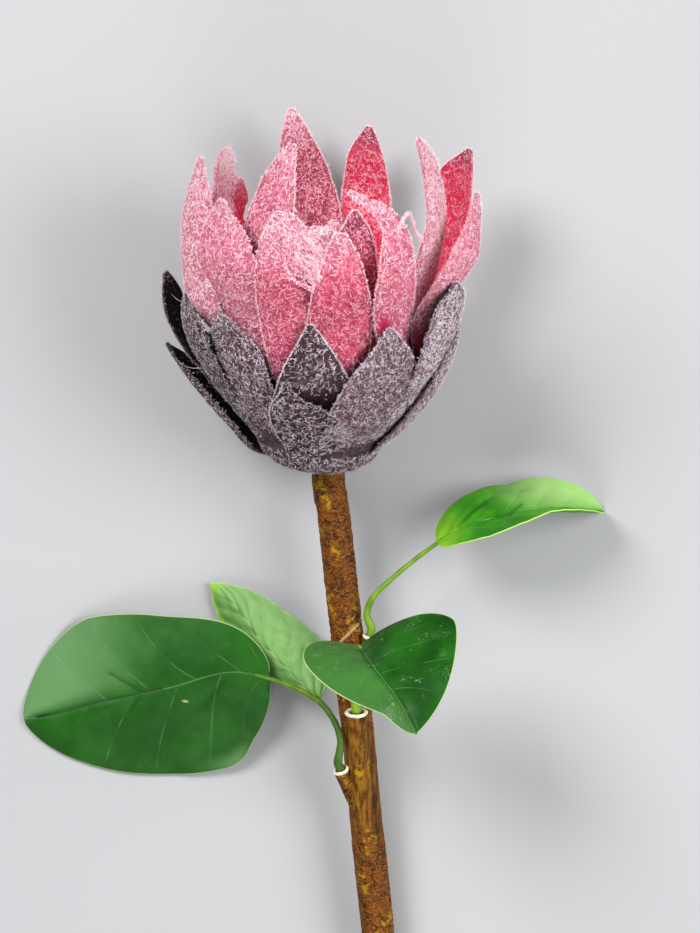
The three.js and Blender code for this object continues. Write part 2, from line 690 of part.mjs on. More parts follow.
const flower = new THREE.Group();
flower.add(meshFrom('stem', stem(), BARK));
for (const [name, socket] of Object.entries(SOCKETS)) {
  flower.add(meshFrom(name, collar(socket), CREAM));
}
flower.add(meshFrom('leaf_sprig_left', leftSprig(), LEAF_GREEN));
flower.add(meshFrom('leaf_right', rightLeaf, LEAF_GREEN));
flower.add(meshFrom('leaf_front', frontLeaf, LEAF_GREEN));
flower.add(meshFrom('bracts', aboveTable(placedBloom(bracts())), FLOCK_GREY));
flower.add(meshFrom('petals', placedBloom(petals()), FLOCK_PINK));
flower.add(meshFrom('florets', placedBloom(florets()), FLORET_RED));

export default flower;
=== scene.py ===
import math

import bpy
import numpy as np
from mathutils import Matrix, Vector, noise


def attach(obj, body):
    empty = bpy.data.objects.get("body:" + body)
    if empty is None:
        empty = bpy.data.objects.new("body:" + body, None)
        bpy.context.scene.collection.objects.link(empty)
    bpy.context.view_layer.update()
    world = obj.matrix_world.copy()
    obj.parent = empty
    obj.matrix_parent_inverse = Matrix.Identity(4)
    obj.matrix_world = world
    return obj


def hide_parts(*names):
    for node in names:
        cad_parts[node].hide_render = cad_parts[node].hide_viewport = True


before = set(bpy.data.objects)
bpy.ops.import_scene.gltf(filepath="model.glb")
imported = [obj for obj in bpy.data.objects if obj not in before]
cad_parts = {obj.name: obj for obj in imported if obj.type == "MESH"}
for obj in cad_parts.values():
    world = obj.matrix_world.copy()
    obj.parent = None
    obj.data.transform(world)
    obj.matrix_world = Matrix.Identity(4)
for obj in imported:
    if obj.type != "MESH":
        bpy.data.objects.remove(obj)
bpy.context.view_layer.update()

# Sizes are in millimetres until a mesh is made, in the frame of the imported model
MM = 0.001
random = np.random.default_rng(5)

# Bloom, as in the part's source
BLOOM_BASE = [2.2, 45.7, 24.6]
BLOOM_LEAN = 3.5
BLOOM_TILT = 20
CUP_PROFILE = [
    [12, -1], [15.5, 1.5], [19.2, 5.8], [24, 11.5], [28.8, 17], [33, 22.5], [37, 29.5], [40.4, 37.5],
    [41.8, 45], [42.2, 53], [42, 61], [41.5, 72],
]
RECEPTACLE_PROFILE = [
    [0, -1], [8.5, -1], [12, -0.7], [15.3, 0.4], [17.8, 2.2], [19.5, 4.6], [20.8, 7.6], [24, 13.5], [28, 20],
    [26, 24.5], [0, 26],
]
CORE_PROFILE = [[0, 26.4], [23, 26.4], [26.5, 28.5], [25, 33], [0, 33.6]]
DOME_PROFILE = [[0, 34], [17.5, 34], [19, 37], [18.6, 43], [16, 50], [9.5, 56], [0, 58.5]]
BLADE_THICKNESS = 1.3
TIP_HALF_WIDTH = 0.6
BRACT_ROOT_HEIGHT = 1
BRACT_BEND_HEIGHT = 15
BRACT_TIP_LENGTH = 5
BRACT_TWIST = 3
OUTER_BRACT_DEPTH = 0.65
INNER_BRACT_DEPTH = 2.1
WIDTH_PLACES = [0, 0.25, 0.5, 0.75, 0.9, 1]
PLAIN_BRACT = [7, 11.5, 14, 12.5, 7.5, 0.6]
PLAIN_PETAL = [4.3, 7.5, 9.6, 7.6, 4.3, 0.6]
# What a bract or petal has where its own entry says nothing. Shaded_hollow is how far up a bract is bare and
# darkened with painted shade, bare how far up a petal is bare foam darkened with painted shade, and inner
# how thickly fibres stand inside. White is how pale the outer face is, from tip_from upwards it nears
# tip_white, mauve is how dull the inner face is and blush how pale. Bald is a bare patch's place in the
# picture and its half sizes, dusk_from is where a tip turns dull, and torn is how ragged the upper edges are.
BRACT = dict(
    out=0, lean=0, lift=0, cup=0, left=PLAIN_BRACT, right=PLAIN_BRACT, shaded_hollow=0.0, rosy=0.0, pale=0.0,
    torn=0.0,
)
PETAL = dict(
    lean=0, bend_lean=0.45, left=PLAIN_PETAL, right=PLAIN_PETAL, white=0.5, tip_from=0.8, tip_white=1.0,
    mauve=0.0, blush=0.0, inner=0.5, bare=0.0, bald=None, dusk_from=2.0, torn=0.0,
)
OUTER_BRACTS = [
    dict(turn=-15, height=38.5, out=2, left=[4, 5, 7.2, 6.2, 2.4, 0.7], right=[9, 15, 16, 9.5, 1.4, 0.7]),
    dict(turn=80, height=52, lift=0.8, left=[8, 14, 17, 15.5, 9.5, 0.8], pale=0.8),
    dict(turn=-93, line=[[13.5, 0.2], [21.8, 2.2], [31.8, 11.8], [42, 23], [51.3, 35]], cup=13,
         left=[5, 8, 9, 8, 5.5, 0.8], right=[5, 8, 9, 8.5, 5.5, 0.8]),
    dict(turn=150, height=42, out=1),
    dict(turn=-150, height=41, out=1),
]
INNER_BRACTS = [
    dict(turn=-7, height=57, lift=-0.8, left=[7, 9, 11, 7.4, 3.2, 0.6],
         right=[8, 12, 14.5, 11.4, 5.6, 0.8], shaded_hollow=0.68),
    dict(turn=26, height=56.5, out=0.5, lean=2, lift=0.5, left=[8, 10, 12.5, 9.3, 3.7, 0.7],
         right=[8, 14, 16, 13.8, 7.2, 0.8], rosy=0.6),
    dict(turn=-52, height=54.5, out=1.5, lean=1, left=[7, 10, 13, 11, 5.6, 0.8],
         right=[9, 13, 16, 16, 13, 1.5], rosy=0.4),
    dict(turn=-80, line=[[17, 4.5], [24, 12.5], [33, 23.5], [38.5, 31], [43.2, 39], [45.6, 47], [45.4, 56.5]],
         left=[6, 8, 10, 8.5, 6, 1], right=[9, 14, 18, 19.5, 15.5, 1.6]),
    dict(turn=-105, line=[[16, 3], [24, 11.5], [34.5, 22.5], [46, 35], [52, 44.5], [55, 55.5]],
         left=[6, 9, 11, 10.5, 8, 1.2], right=[7, 11, 13, 12.5, 9, 1.5]),
    dict(turn=59, height=69, out=6.5, left=[6, 9, 10.2, 10, 8, 0.8],
         right=[8, 13, 15, 15, 11.5, 1], pale=1.0),
    dict(turn=110, height=60, out=1),
    dict(turn=148, height=58, out=1),
    dict(turn=182, height=60, out=1),
    dict(turn=-143, height=59, out=2),
]
OUTER_PETAL_ROOT = [[22, 29.2], [28.5, 31.5], [33.5, 37], [36, 44]]
INNER_PETAL_ROOT = [[17, 30], [23, 32], [28, 38], [31, 45]]
OUTER_SHOULDER = 37.6
INNER_SHOULDER = 33
SHOULDER_HEIGHT = 54
PETAL_FULL_RISE = 20
OUTER_PETALS = [
    dict(turn=-72, height=101, belly=47.9, tip=43.6, shoulder=44.4, cup=14, left=[9, 13, 12, 9.2, 7.4, 1.4],
         right=[7, 11, 13, 12.5, 8, 1.2], white=0.8),
    dict(turn=-54, height=91, belly=46, tip=42, cup=24, left=[9, 12, 11, 8, 4.4, 1],
         right=[10, 15, 18.5, 18.5, 11.5, 1], white=0.5),
    dict(turn=-24, height=91.5, belly=42.5, tip=40, lean=0.5, cup=15, left=[1, 2, 5.5, 5.5, 4.4, 1],
         right=[4, 8, 13, 15.5, 14, 4], white=0.15, tip_from=0.66, tip_white=0.85, torn=0.25,
         bald=[288, 348, 0.9, 1.4]),
    dict(turn=4, height=87, belly=43.5, tip=41, cup=15, left=[6, 7.5, 8.4, 6.6, 3.8, 1.2],
         right=[8, 11, 12.3, 9.2, 5.8, 1.5], white=0.06, tip_from=0.74, tip_white=0.6, torn=0.1),
    dict(turn=31, height=98.7, belly=43, tip=33, lean=-14, bend_lean=0.12, cup=16,
         left=[3, 1.5, 6.2, 4.5, 1.3, 0.6], right=[12, 14, 9.2, 5.5, 2, 0.6], white=0.4, tip_from=0.68,
         torn=0.1, bald=[383, 327, 1.6, 3.1]),
    dict(turn=67, height=95.5, belly=47.5, tip=46.5, lean=4, shoulder=36.3, cup=22,
         left=[7, 9, 12, 12, 4, 0.8], right=[6, 7, 6.5, 8, 6.5, 0.8], white=0.6, bare=0.45),
    dict(turn=118, height=100, belly=45, tip=48, left=[7, 8, 9, 8, 6, 0.8],
         right=[7, 10, 11, 12, 10, 1.2], inner=0.5, tip_from=0.97, dusk_from=0.86),
    dict(turn=168, height=101, belly=45, tip=42, lean=-1, left=[6, 8, 10.5, 8, 4.6, 0.8],
         right=[5, 6, 6.3, 6.9, 5.2, 0.8], inner=0.9, mauve=0.1, tip_from=0.97, dusk_from=0.84),
    dict(turn=-166, height=105.5, belly=45, tip=42, lean=6, left=[7, 9, 12.5, 8.5, 3.6, 0.8],
         right=[6, 8, 9, 7.5, 5, 0.8], inner=1.3, mauve=0.95, tip_from=0.8, tip_white=0.6),
    dict(turn=-127, height=85, belly=45, tip=40.5, left=[7, 9, 10, 9.2, 7.6, 3],
         right=[7, 9, 9, 8, 6.5, 3], inner=0.2, tip_from=0.84, torn=0.3),
]
INNER_PETALS = [
    dict(turn=-114, height=97, belly=40, tip=39, left=[5, 6, 6.6, 6, 6, 2.4], right=[7, 9, 11, 13.5, 13, 3],
         white=1.0, inner=1.5, blush=0.5, torn=0.4),
    dict(turn=-42, height=108, belly=35.5, tip=22, lean=2, cup=12, left=[5, 5, 5, 5, 4.6, 0.8],
         right=[6, 8, 10.5, 10.5, 5.5, 0.8], white=0.45),
    dict(turn=-4, height=88, belly=38, tip=38.5, left=[5, 8, 10, 9, 7, 2.5],
         right=[5, 8, 10, 9, 7, 2.5], white=1.0, torn=0.3),
    dict(turn=11, height=93, belly=37, tip=36, left=[5, 7, 8, 6.5, 4, 0.8],
         right=[5, 7, 9, 8, 5.5, 0.8], white=0.0, tip_from=0.97, bare=0.7, dusk_from=0.78),
    dict(turn=57, height=114.5, belly=38, tip=36, lean=-10.5, left=[5, 5.5, 5.6, 2.4, 1, 0.5],
         right=[5, 6, 8.5, 11, 6.5, 0.8], white=1.0, bare=0.4),
    dict(turn=140, height=59, belly=36, tip=36),
    dict(turn=180, height=70, belly=36, tip=36),
]

# Stem, sockets, leaves and petioles, as in the part's source
STEM_RADIUS = 5.5
STEM_LINE = [
    [26.2, -156, 5.6], [21.4, -110, 9.4], [17.5, -73.3, 12.4], [15, -46.7, 14.6], [10.7, -7.2, 17.8],
    [8.9, 9.2, 19.2], [6.6, 29, 20.7],
]
NECK_SIDE = 3.4
NECK_TOP = -1.8
NECK_LENGTH = 6
SOCKETS = {
    "collar_left": dict(start=[15, -71, 13.5], end=[9.6, -57, 20.2], radius=2.4),
    "collar_right": dict(start=[15, -27, 18.4], end=[18.3, -13.5, 21.6], radius=2.1),
    "collar_front": dict(start=[15.8, -80, 11.8], end=[14.3, -38, 24.9], radius=3.4, smooth=1.0),
}
SOCKET_GAP = 0.3
COLLAR_HEIGHT = 1.3
PETIOLE_FOOT = 2
# A lip's rows, as shares of the socket's radius, heights and how far painted shade darkens them down its
# mouth
LIP_PROFILE = [
    (0, 0, 0), (0.6, 0, 0), (0.95, 0, 0), (1.08, 0.45, 0), (1.12, 0.9, 0), (1.04, 1.25, 0), (0.88, 1.3, 0),
    (0.76, 1.1, 0.1), (0.7, 0.7, 0.8), (0.5, 0.5, 1), (0, 0.5, 1),
]
LEAF_THICKNESS = 0.8
LEAF_EDGE_THICKNESS = 0.42
LEAF_CURL = 6
LEAF_ROUNDNESS = 1.6
# Leaves: the rib's line, and for each half its width, shape, lobe at the base and rise in degrees along it.
# Veins is how many side veins a half has, slant how much they lean, relief how high the skin stands between
# them, calm its share on the second half, crumple a finer relief, blunt how wide the tip stays and spot a
# small pale scar. The tones are dark, light, vein and underside.
LEAF = dict(calm=1, blunt=0, crumple=0, creases=(), spot=None)
LEFT_LEAF = dict(
    rib=[[-14.4, -26, 15], [-28, -24.6, 14.6], [-46, -29.5, 12.5], [-72, -35.6, 7.5], [-96.2, -41.2, 1.4]],
    side=[0.15, -1, 0],
    halves=[
        dict(width=33, peak=0.32, base=0.56, tip=0.6, lobe=0.32, rise=[-12, -14, -4]),
        dict(width=28.5, peak=0.66, base=0.6, tip=0.62, lobe=0.2, rise=[4, -2, -4]),
    ],
    veins=5.5, slant=0.3, relief=0.2,
    creases=[
        ([-57, -31], [-67, -25.5]), ([-29, -27.5], [-35.5, -35.5]), ([-56, -31.5], [-61, -38]),
        ([-50, -30.3], [-72, -35.6]), ([-72, -35.6], [-92, -40.3]),
    ],
    spot=[-41.9, -34.3],
    tones=["184a10", "235c18", "6f9a64", "3a6b30"],
)
BACK_LEAF = dict(
    rib=[[1.7, -33.4, 13.5], [-7.5, -24.5, 12.6], [-17.2, -14.3, 10.5], [-25, -4, 6.8], [-34.2, 4.3, 2.4]],
    side=[0.8, 0.6, 0],
    halves=[
        dict(width=15, peak=0.36, base=0.5, tip=0.92, lobe=0.2, rise=[-5, -10, -5]),
        dict(width=11.5, peak=0.6, base=0.9, tip=0.75, lobe=0.1, rise=[-30, -32, -25]),
    ],
    veins=8, slant=0.32, relief=0.95, crumple=0.9, calm=0.3,
    # These tones are painted paler than the left leaf's, for the sheen the back leaf catches.
    tones=["3a7426", "5a9038", "90b476", "5c9a3f"],
)
RIGHT_LEAF = dict(
    rib=[[41.1, 18.5, 25], [48.6, 23.2, 25.6], [60, 26.4, 24.6], [76, 28.4, 18.5], [96.4, 28.4, 1.6]],
    side=[0, 1, 0],
    halves=[
        dict(width=18.5, peak=0.4, base=0.46, tip=0.6, lobe=0.15, rise=[-50, -54, -10]),
        dict(width=17, peak=0.38, base=0.5, tip=0.7, lobe=0.2, rise=[70, 79, 99, 97, 84]),
    ],
    veins=6, slant=0.35, relief=0.6, crumple=0.25,
    creases=[([47.5, 23.4], [52.4, 28.2]), ([52.4, 28.2], [56.7, 31.5]), ([64.1, 27.2], [68.3, 30.3])],
    # These tones are painted brighter than the left leaf's, for the light the right leaf catches.
    tones=["24740e", "48a01a", "aed084", "4d9a1c"],
)
FRONT_LEAF = dict(
    rib=[[15.2, -14.5, 45], [17.2, -16.8, 57], [21.5, -21.8, 69.5], [27.5, -29.4, 79.5], [32.4, -38.4, 84.6]],
    side=[0.93, 0.36, 0],
    halves=[
        dict(width=29, peak=0.44, base=0.7, tip=0.78, lobe=0.1, rise=[26, 10, 2]),
        dict(width=20.5, peak=0.3, base=0.45, tip=1.3, lobe=0.2, rise=[42, 22, 5]),
    ],
    veins=6, slant=0.3, relief=0.15, blunt=14,
    tones=["10400a", "236318", "6fa25c", "336a26"],
)

# Petioles and stalks: the line beyond the socket, the radii along it, and how dark it is
LEFT_PETIOLE = dict(
    socket="collar_left", line=[[9.2, -47, 22], [8, -42, 20.8], [5.2, -37.3, 18], [1.2, -33, 15]],
    radii=[1.5, 1.2, 1.0, 0.95], dark=0.75,
)
LEFT_LEAF_STALK = dict(
    line=[[2.6, -34.4, 15.8], [-4.2, -30.3, 14.6], [-9.5, -28.2, 14.6], [-19, -25.3, 14.7]],
    radii=[0.9, 0.75, 0.6], dark=0.45,
)
BACK_LEAF_STALK = dict(
    line=[[5.2, -37.3, 18], [1.7, -33.4, 14.2], [-1.4, -30.6, 13.1]], radii=[0.9, 0.7], dark=0.3,
)
RIGHT_PETIOLE = dict(
    socket="collar_right",
    line=[[17.7, -5.5, 23.4], [19.6, 0.3, 24.6], [25.8, 6.5, 25.6], [32.3, 12, 25.7], [41.1, 18.5, 25],
          [45, 21, 25.2]],
    radii=[1.5, 1.15, 0.95, 0.85, 0.75, 0.7, 0.6], dark=0.2,
)
FRONT_PETIOLE = dict(
    socket="collar_front", line=[[14.9, -27, 29.5], [15.1, -18.5, 37], [15.2, -14.6, 45], [15.8, -15.2, 49]],
    radii=[1.7, 1.2, 0.9], dark=0.0,
)

# Camera straight above and 1 m from the table, with its focal length in pixels of the 700 x 933 picture
CAMERA_PLACE = (12.2, 43, 1000)
CAMERA_PIXELS = 3000
PICTURE_MIDDLE = (350, 466.5)
SENSOR_WIDTH = 36

# Stray fibres, as places in the picture and heights over the table
WEB_STRANDS = 80
BENT_SLIVER = [
    [396, 239, 87], [399, 228, 86], [408, 213, 83], [412, 218, 81], [415, 231, 78], [423, 240, 75.5],
]
LOOSE_THREADS = [
    [[171, 294, 28.5], [178, 300, 36], [183, 303, 42], [186, 312, 45.5]],
    [[180, 364, 36], [192, 368, 39], [203, 368, 40.8]],
    [[228, 368, 59.6], [238, 372, 63.5], [246, 369, 65.8]],
]

# Fibres: lengths and widths, how thick they stand round an edge and how many stay on faces turned to the
# table. Those of blades with a turn of less than FRONT_TURN are gathered apart from those at the back.
LONG = (1.2, 2.5)
SHORT = (0.6, 1.3)
FIBRE_WIDTHS = (0.14, 0.22)
RIM_FIBRE_WIDTHS = (0.11, 0.18)
RIM_DENSITY = 9
UNDERSIDE_SHARE = 0.4
FIBRE_STEPS = 4
FRONT_TURN = 90

# Size, twist and width of the three sets of worm-like lines on the foam
WORMS = ((1.5, 2.0, 0.042), (1.15, 2.6, 0.038), (0.9, 1.6, 0.034))

# Marks on the bark: the size of its cells, and by their place along Y a smoother stretch and a groove right
# of the middle, and a thin seam
BARK_CELL = [4.2, 4.2, 1.5]
SMOOTH_FROM, SMOOTH_TO = -80, -36
GROOVE_FROM, GROOVE_TO = -88, -38
GROOVE_SIDE = 0.66
GROOVE_WIDTH = 0.13
SEAM = [[8.9, -14.2], [15.1, -8.3]]
SEAM_WIDTH = 0.24

# Finer meshes than the part's
BLADE_ROWS = 36
BLADE_COLUMNS = 16
LEAF_ROWS = 110
LEAF_COLUMNS = 40
BOWL_ROWS, BOWL_COLUMNS = 17, 73
STEM_RINGS, STEM_SIDES = 460, 72
STUB_SIDES = 40
LIP_SIDES = 48
PETIOLE_SIDES = 20
FLORETS = 380
TABLE_CLEARANCE = 0.05


# Numbers


def unit(v):
    return v / np.maximum(np.linalg.norm(v, axis=-1, keepdims=True), 1e-9)


def smooth(x):
    x = np.clip(x, 0, 1)
    return x * x * (3 - 2 * x)


def between(values, t):
    return np.interp(t, np.linspace(0, 1, len(values)), values)


def linear(code):
    """The linear colour of a six-digit code."""
    parts = [int(code[k:k + 2], 16) / 255 for k in (0, 2, 4)]
    return [c / 12.92 if c <= 0.04045 else ((c + 0.055) / 1.055) ** 2.4 for c in parts]


def eased(places, values, t):
    """Values at some places, read at t along a smooth line through them."""
    places, values = np.array(places, float), np.array(values, float)
    slopes = np.gradient(values, places)
    k = np.clip(np.searchsorted(places, t, side="right") - 1, 0, len(places) - 2)
    wide = places[k + 1] - places[k]
    u = (t - places[k]) / wide
    start, end = 1 - smooth(u), smooth(u)
    rise = u * (1 - u) ** 2 * slopes[k] - u ** 2 * (1 - u) * slopes[k + 1]
    return start * values[k] + end * values[k + 1] + rise * wide


def noise_at(points, size, seed=0.0):
    """Smooth noise of about -1 to 1 at each point, with bumps of a size in millimetres."""
    flat = np.reshape(points, (-1, 3)) / size + seed
    values = np.array([noise.noise(Vector(p)) for p in flat])
    return values.reshape(np.shape(points)[:-1])


def shaken(points, size, amount, seed, step):
    """Points moved by smooth noise, with a seed of its own for each direction."""
    return points + amount * np.stack([noise_at(points, size, seed + k * step) for k in range(3)], axis=-1)


class Curve:
    """A smooth curve through points, read from 0 to 1 along its length."""

    STEPS = 50

    def __init__(self, points):
        p = np.array(points, float)
        ends = np.vstack([2 * p[0] - p[1], p, 2 * p[-1] - p[-2]])
        w = np.linspace(0, 1, self.STEPS, endpoint=False)[:, None]
        parts = []
        for p0, p1, p2, p3 in zip(ends, ends[1:], ends[2:], ends[3:]):
            pairs = (p0, p1), (p1, p2), (p2, p3)
            d0, d1, d2 = (np.sqrt(max(np.linalg.norm(b - a), 1e-6)) for a, b in pairs)
            t1 = d1 * ((p1 - p0) / d0 - (p2 - p0) / (d0 + d1) + (p2 - p1) / d1)
            t2 = d1 * ((p2 - p1) / d1 - (p3 - p1) / (d1 + d2) + (p3 - p2) / d2)
            parts.append(
                p1 + t1 * w + (-3 * p1 + 3 * p2 - 2 * t1 - t2) * w ** 2 + (2 * p1 - 2 * p2 + t1 + t2) * w ** 3
            )
        self.line = np.vstack([*parts, p[-1:]])
        steps = np.linalg.norm(np.diff(self.line, axis=0), axis=1)
        self.reach = np.concatenate([[0], np.cumsum(steps)])
        self.length = self.reach[-1]

    def at(self, t):
        far = np.asarray(t, float) * self.length
        return np.stack([np.interp(far, self.reach, self.line[:, k]) for k in range(3)], axis=-1)

    def tangent(self, t, reach=0.01):
        t = np.asarray(t, float)
        return unit(self.at(np.minimum(t + reach, 1)) - self.at(np.maximum(t - reach, 0)))

    def tangent_at_point(self, k):
        middle = k * self.STEPS
        return unit(self.line[min(middle + 1, len(self.line) - 1)] - self.line[max(middle - 1, 0)])


def turned_about(axis, v, angle):
    """Vectors v turned about unit vectors by an angle in radians."""
    along = (axis * v).sum(-1, keepdims=True)
    return v * np.cos(angle) + np.cross(axis, v) * np.sin(angle) + axis * along * (1 - np.cos(angle))


def spun(points, angle):
    """Points turned about the upright bloom's axis."""
    rotation = [[math.cos(angle), math.sin(angle), 0], [-math.sin(angle), math.cos(angle), 0], [0, 0, 1]]
    return points @ np.array(rotation)


def bloom_axes():
    lean, tilt = math.radians(BLOOM_LEAN), math.radians(BLOOM_TILT)
    axis = np.array([math.sin(lean) * math.cos(tilt), math.cos(lean) * math.cos(tilt), math.sin(tilt)])
    right = unit(np.cross(axis, [0, 0, 1]))
    return np.stack([right, np.cross(axis, right), axis])


BLOOM_AXES = bloom_axes()


def in_bloom(points):
    """Points of the upright bloom moved to where it lies."""
    return np.asarray(points, float) @ BLOOM_AXES + BLOOM_BASE


def revolved(r, s, angle):
    """A surface of radii r and heights s turned about the bloom's axis, where it lies."""
    flat = np.broadcast_to(s[:, None], (len(s), len(angle)))
    return in_bloom(np.stack([r[:, None] * np.cos(angle), r[:, None] * np.sin(angle), flat], axis=-1))


def full_turn(sides):
    return np.linspace(0, 2 * math.pi, sides, endpoint=False)


def spokes(first, second, angle):
    """Directions at some angles between two that are square to each other."""
    return first[..., None, :] * np.cos(angle)[:, None] + second[..., None, :] * np.sin(angle)[:, None]


def framed(curve, t):
    """Directions square to a curve, without twist."""
    tangents = curve.tangent(t)
    normal = unit(np.cross(tangents[0], [0.3, 0.2, 1.0]))
    normals = []
    for tangent in tangents:
        normal = unit(normal - tangent * (normal @ tangent))
        normals.append(normal)
    normals = np.array(normals)
    return normals, np.cross(tangents, normals)


def line_distance(points, start, end):
    """How far points are from a line between two points, seen from above."""
    start, end = np.array(start), np.array(end)
    line = end - start
    share = np.clip(((points[..., :2] - start) @ line) / (line @ line), 0, 1)
    return np.linalg.norm(points[..., :2] - start - share[..., None] * line, axis=-1)


def at_pixel(x, y, height):
    """The point at a height that shows at a place in the picture."""
    share = (CAMERA_PLACE[2] - height) / CAMERA_PIXELS
    aside, up = (x - PICTURE_MIDDLE[0]) * share, (PICTURE_MIDDLE[1] - y) * share
    return [CAMERA_PLACE[0] + aside, CAMERA_PLACE[1] + up, height]


def above_table(points):
    points = points.copy()
    points[..., 2] = np.maximum(points[..., 2], TABLE_CLEARANCE)
    return points


# Meshes


class Body:
    """Vertices and faces that are gathered into one object, with values at the vertices for its material."""

    def __init__(self):
        self.points = []
        self.faces = []
        self.values = {}
        self.count = 0

    def add(self, points, faces, **values):
        points = np.reshape(points, (-1, 3))
        self.faces.append(np.asarray(faces) + self.count)
        self.points.append(points)
        for name in {**self.values, **values}:
            held = self.values.setdefault(name, [np.zeros(self.count)])
            held.append(np.broadcast_to(np.ravel(values.get(name, 0.0)), len(points)))
        self.count += len(points)

    def clear_table(self):
        self.points = [above_table(points) for points in self.points]

    def made(self, name, look, node):
        """Makes the object, in place of a CAD node."""
        points = np.vstack(self.points) * MM
        mesh = bpy.data.meshes.new(name)
        sizes = np.concatenate([np.full(len(f), f.shape[1]) for f in self.faces])
        corners = np.concatenate([f.ravel() for f in self.faces])
        mesh.vertices.add(len(points))
        mesh.vertices.foreach_set("co", points.astype(np.float32).ravel())
        mesh.loops.add(len(corners))
        mesh.loops.foreach_set("vertex_index", corners.astype(np.int32))
        mesh.polygons.add(len(sizes))
        starts = np.concatenate([[0], np.cumsum(sizes)[:-1]])
        mesh.polygons.foreach_set("loop_start", starts.astype(np.int32))
        mesh.polygons.foreach_set("use_smooth", np.full(len(sizes), True))
        mesh.update(calc_edges=True)
        mesh.validate()
        for key, held in self.values.items():
            layer = mesh.attributes.new(key, "FLOAT", "POINT")
            layer.data.foreach_set("value", np.concatenate(held).astype(np.float32))
        mesh.materials.append(look.material)
        piece = bpy.data.objects.new(name, mesh)
        bpy.context.scene.collection.objects.link(piece)
        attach(piece, "root")
        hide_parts(node)


def grid_faces(rows, columns, closed=False):
    """Four-cornered faces over a grid of rows and columns of points."""
    across = columns if closed else columns - 1
    i, j = np.meshgrid(np.arange(rows - 1), np.arange(across), indexing="ij")
    i, j = i.ravel(), j.ravel()
    n = (j + 1) % columns
    return np.stack([i * columns + j, i * columns + n, (i + 1) * columns + n, (i + 1) * columns + j], axis=1)


def grid_normals(grid):
    return unit(np.cross(np.gradient(grid, axis=1), np.gradient(grid, axis=0)))


def rim_of(rows, columns):
    """The indices round a grid: along its first row, up its right side and back."""
    at = np.arange(rows * columns).reshape(rows, columns)
    return np.concatenate([at[0, :-1], at[:-1, -1], at[-1, :0:-1], at[:0:-1, 0]])


def blade(body, grid, thickness, **values):
    """A closed blade round a grid of points on its middle surface, with a soft rim."""
    rows, columns = grid.shape[:2]
    half = grid_normals(grid) * thickness[..., None] / 2
    rim = rim_of(rows, columns)
    middle = grid.reshape(-1, 3)[rim]
    centre = grid[:, columns // 2][rim // columns]
    outward = unit(middle - centre * 0.999 - grid[0].mean(0) * 0.001)
    soft = middle + outward * thickness.ravel()[rim][:, None] * 0.3
    points = np.vstack([(grid + half).reshape(-1, 3), (grid - half).reshape(-1, 3), soft])
    face = rows * columns
    quads = grid_faces(rows, columns)
    k = np.arange(len(rim))
    n = (k + 1) % len(rim)
    outer_rim = np.stack([rim[n], rim[k], 2 * face + k, 2 * face + n], axis=1)
    inner_rim = np.stack([2 * face + n, 2 * face + k, rim[k] + face, rim[n] + face], axis=1)
    inside = np.concatenate([np.zeros(face), np.ones(face), np.full(len(rim), 0.5)])
    held = {}
    for name, value in values.items():
        flat = np.broadcast_to(value, (rows, columns)).ravel()
        held[name] = np.concatenate([flat, flat, flat[rim]])
    faces = np.vstack([quads, quads[:, ::-1] + face, outer_rim, inner_rim])
    body.add(points, faces, inside=inside, **held)


def lathe(body, profile, segments, **values):
    """A profile of radius and height turned about the bloom's axis."""
    r, s = np.array(profile, float).T
    body.add(revolved(r, s, full_turn(segments)), grid_faces(len(profile), segments, closed=True), **values)


def capped(ring):
    """A ring's middle and a smaller ring, which round off the end of a bar."""
    middle = ring.mean(1, keepdims=True)
    return [middle + (ring - middle) * share for share in (0.0, 0.8)]


def bar(body, curve, rings, sides, radius, **values):
    """A bar along a curve with rounded ends; radius is a table of rings and sides, or one per ring."""
    t = np.linspace(0, 1, rings)
    radius = np.broadcast_to(np.asarray(radius, float).reshape(rings, -1), (rings, sides))
    points = curve.at(t)[:, None] + spokes(*framed(curve, t), full_turn(sides)) * radius[..., None]
    held = {}
    for name, value in values.items():
        if np.size(value) > 1:
            table = np.broadcast_to(np.reshape(value, (rings, -1)), (rings, sides))
            value = np.vstack([table[:1], table[:1], table, table[-1:], table[-1:]])
        held[name] = value
    points = np.concatenate([*capped(points[:1]), points, *capped(points[-1:])[::-1]])
    body.add(points, grid_faces(rings + 4, sides, closed=True)[:, ::-1], **held)


# Materials


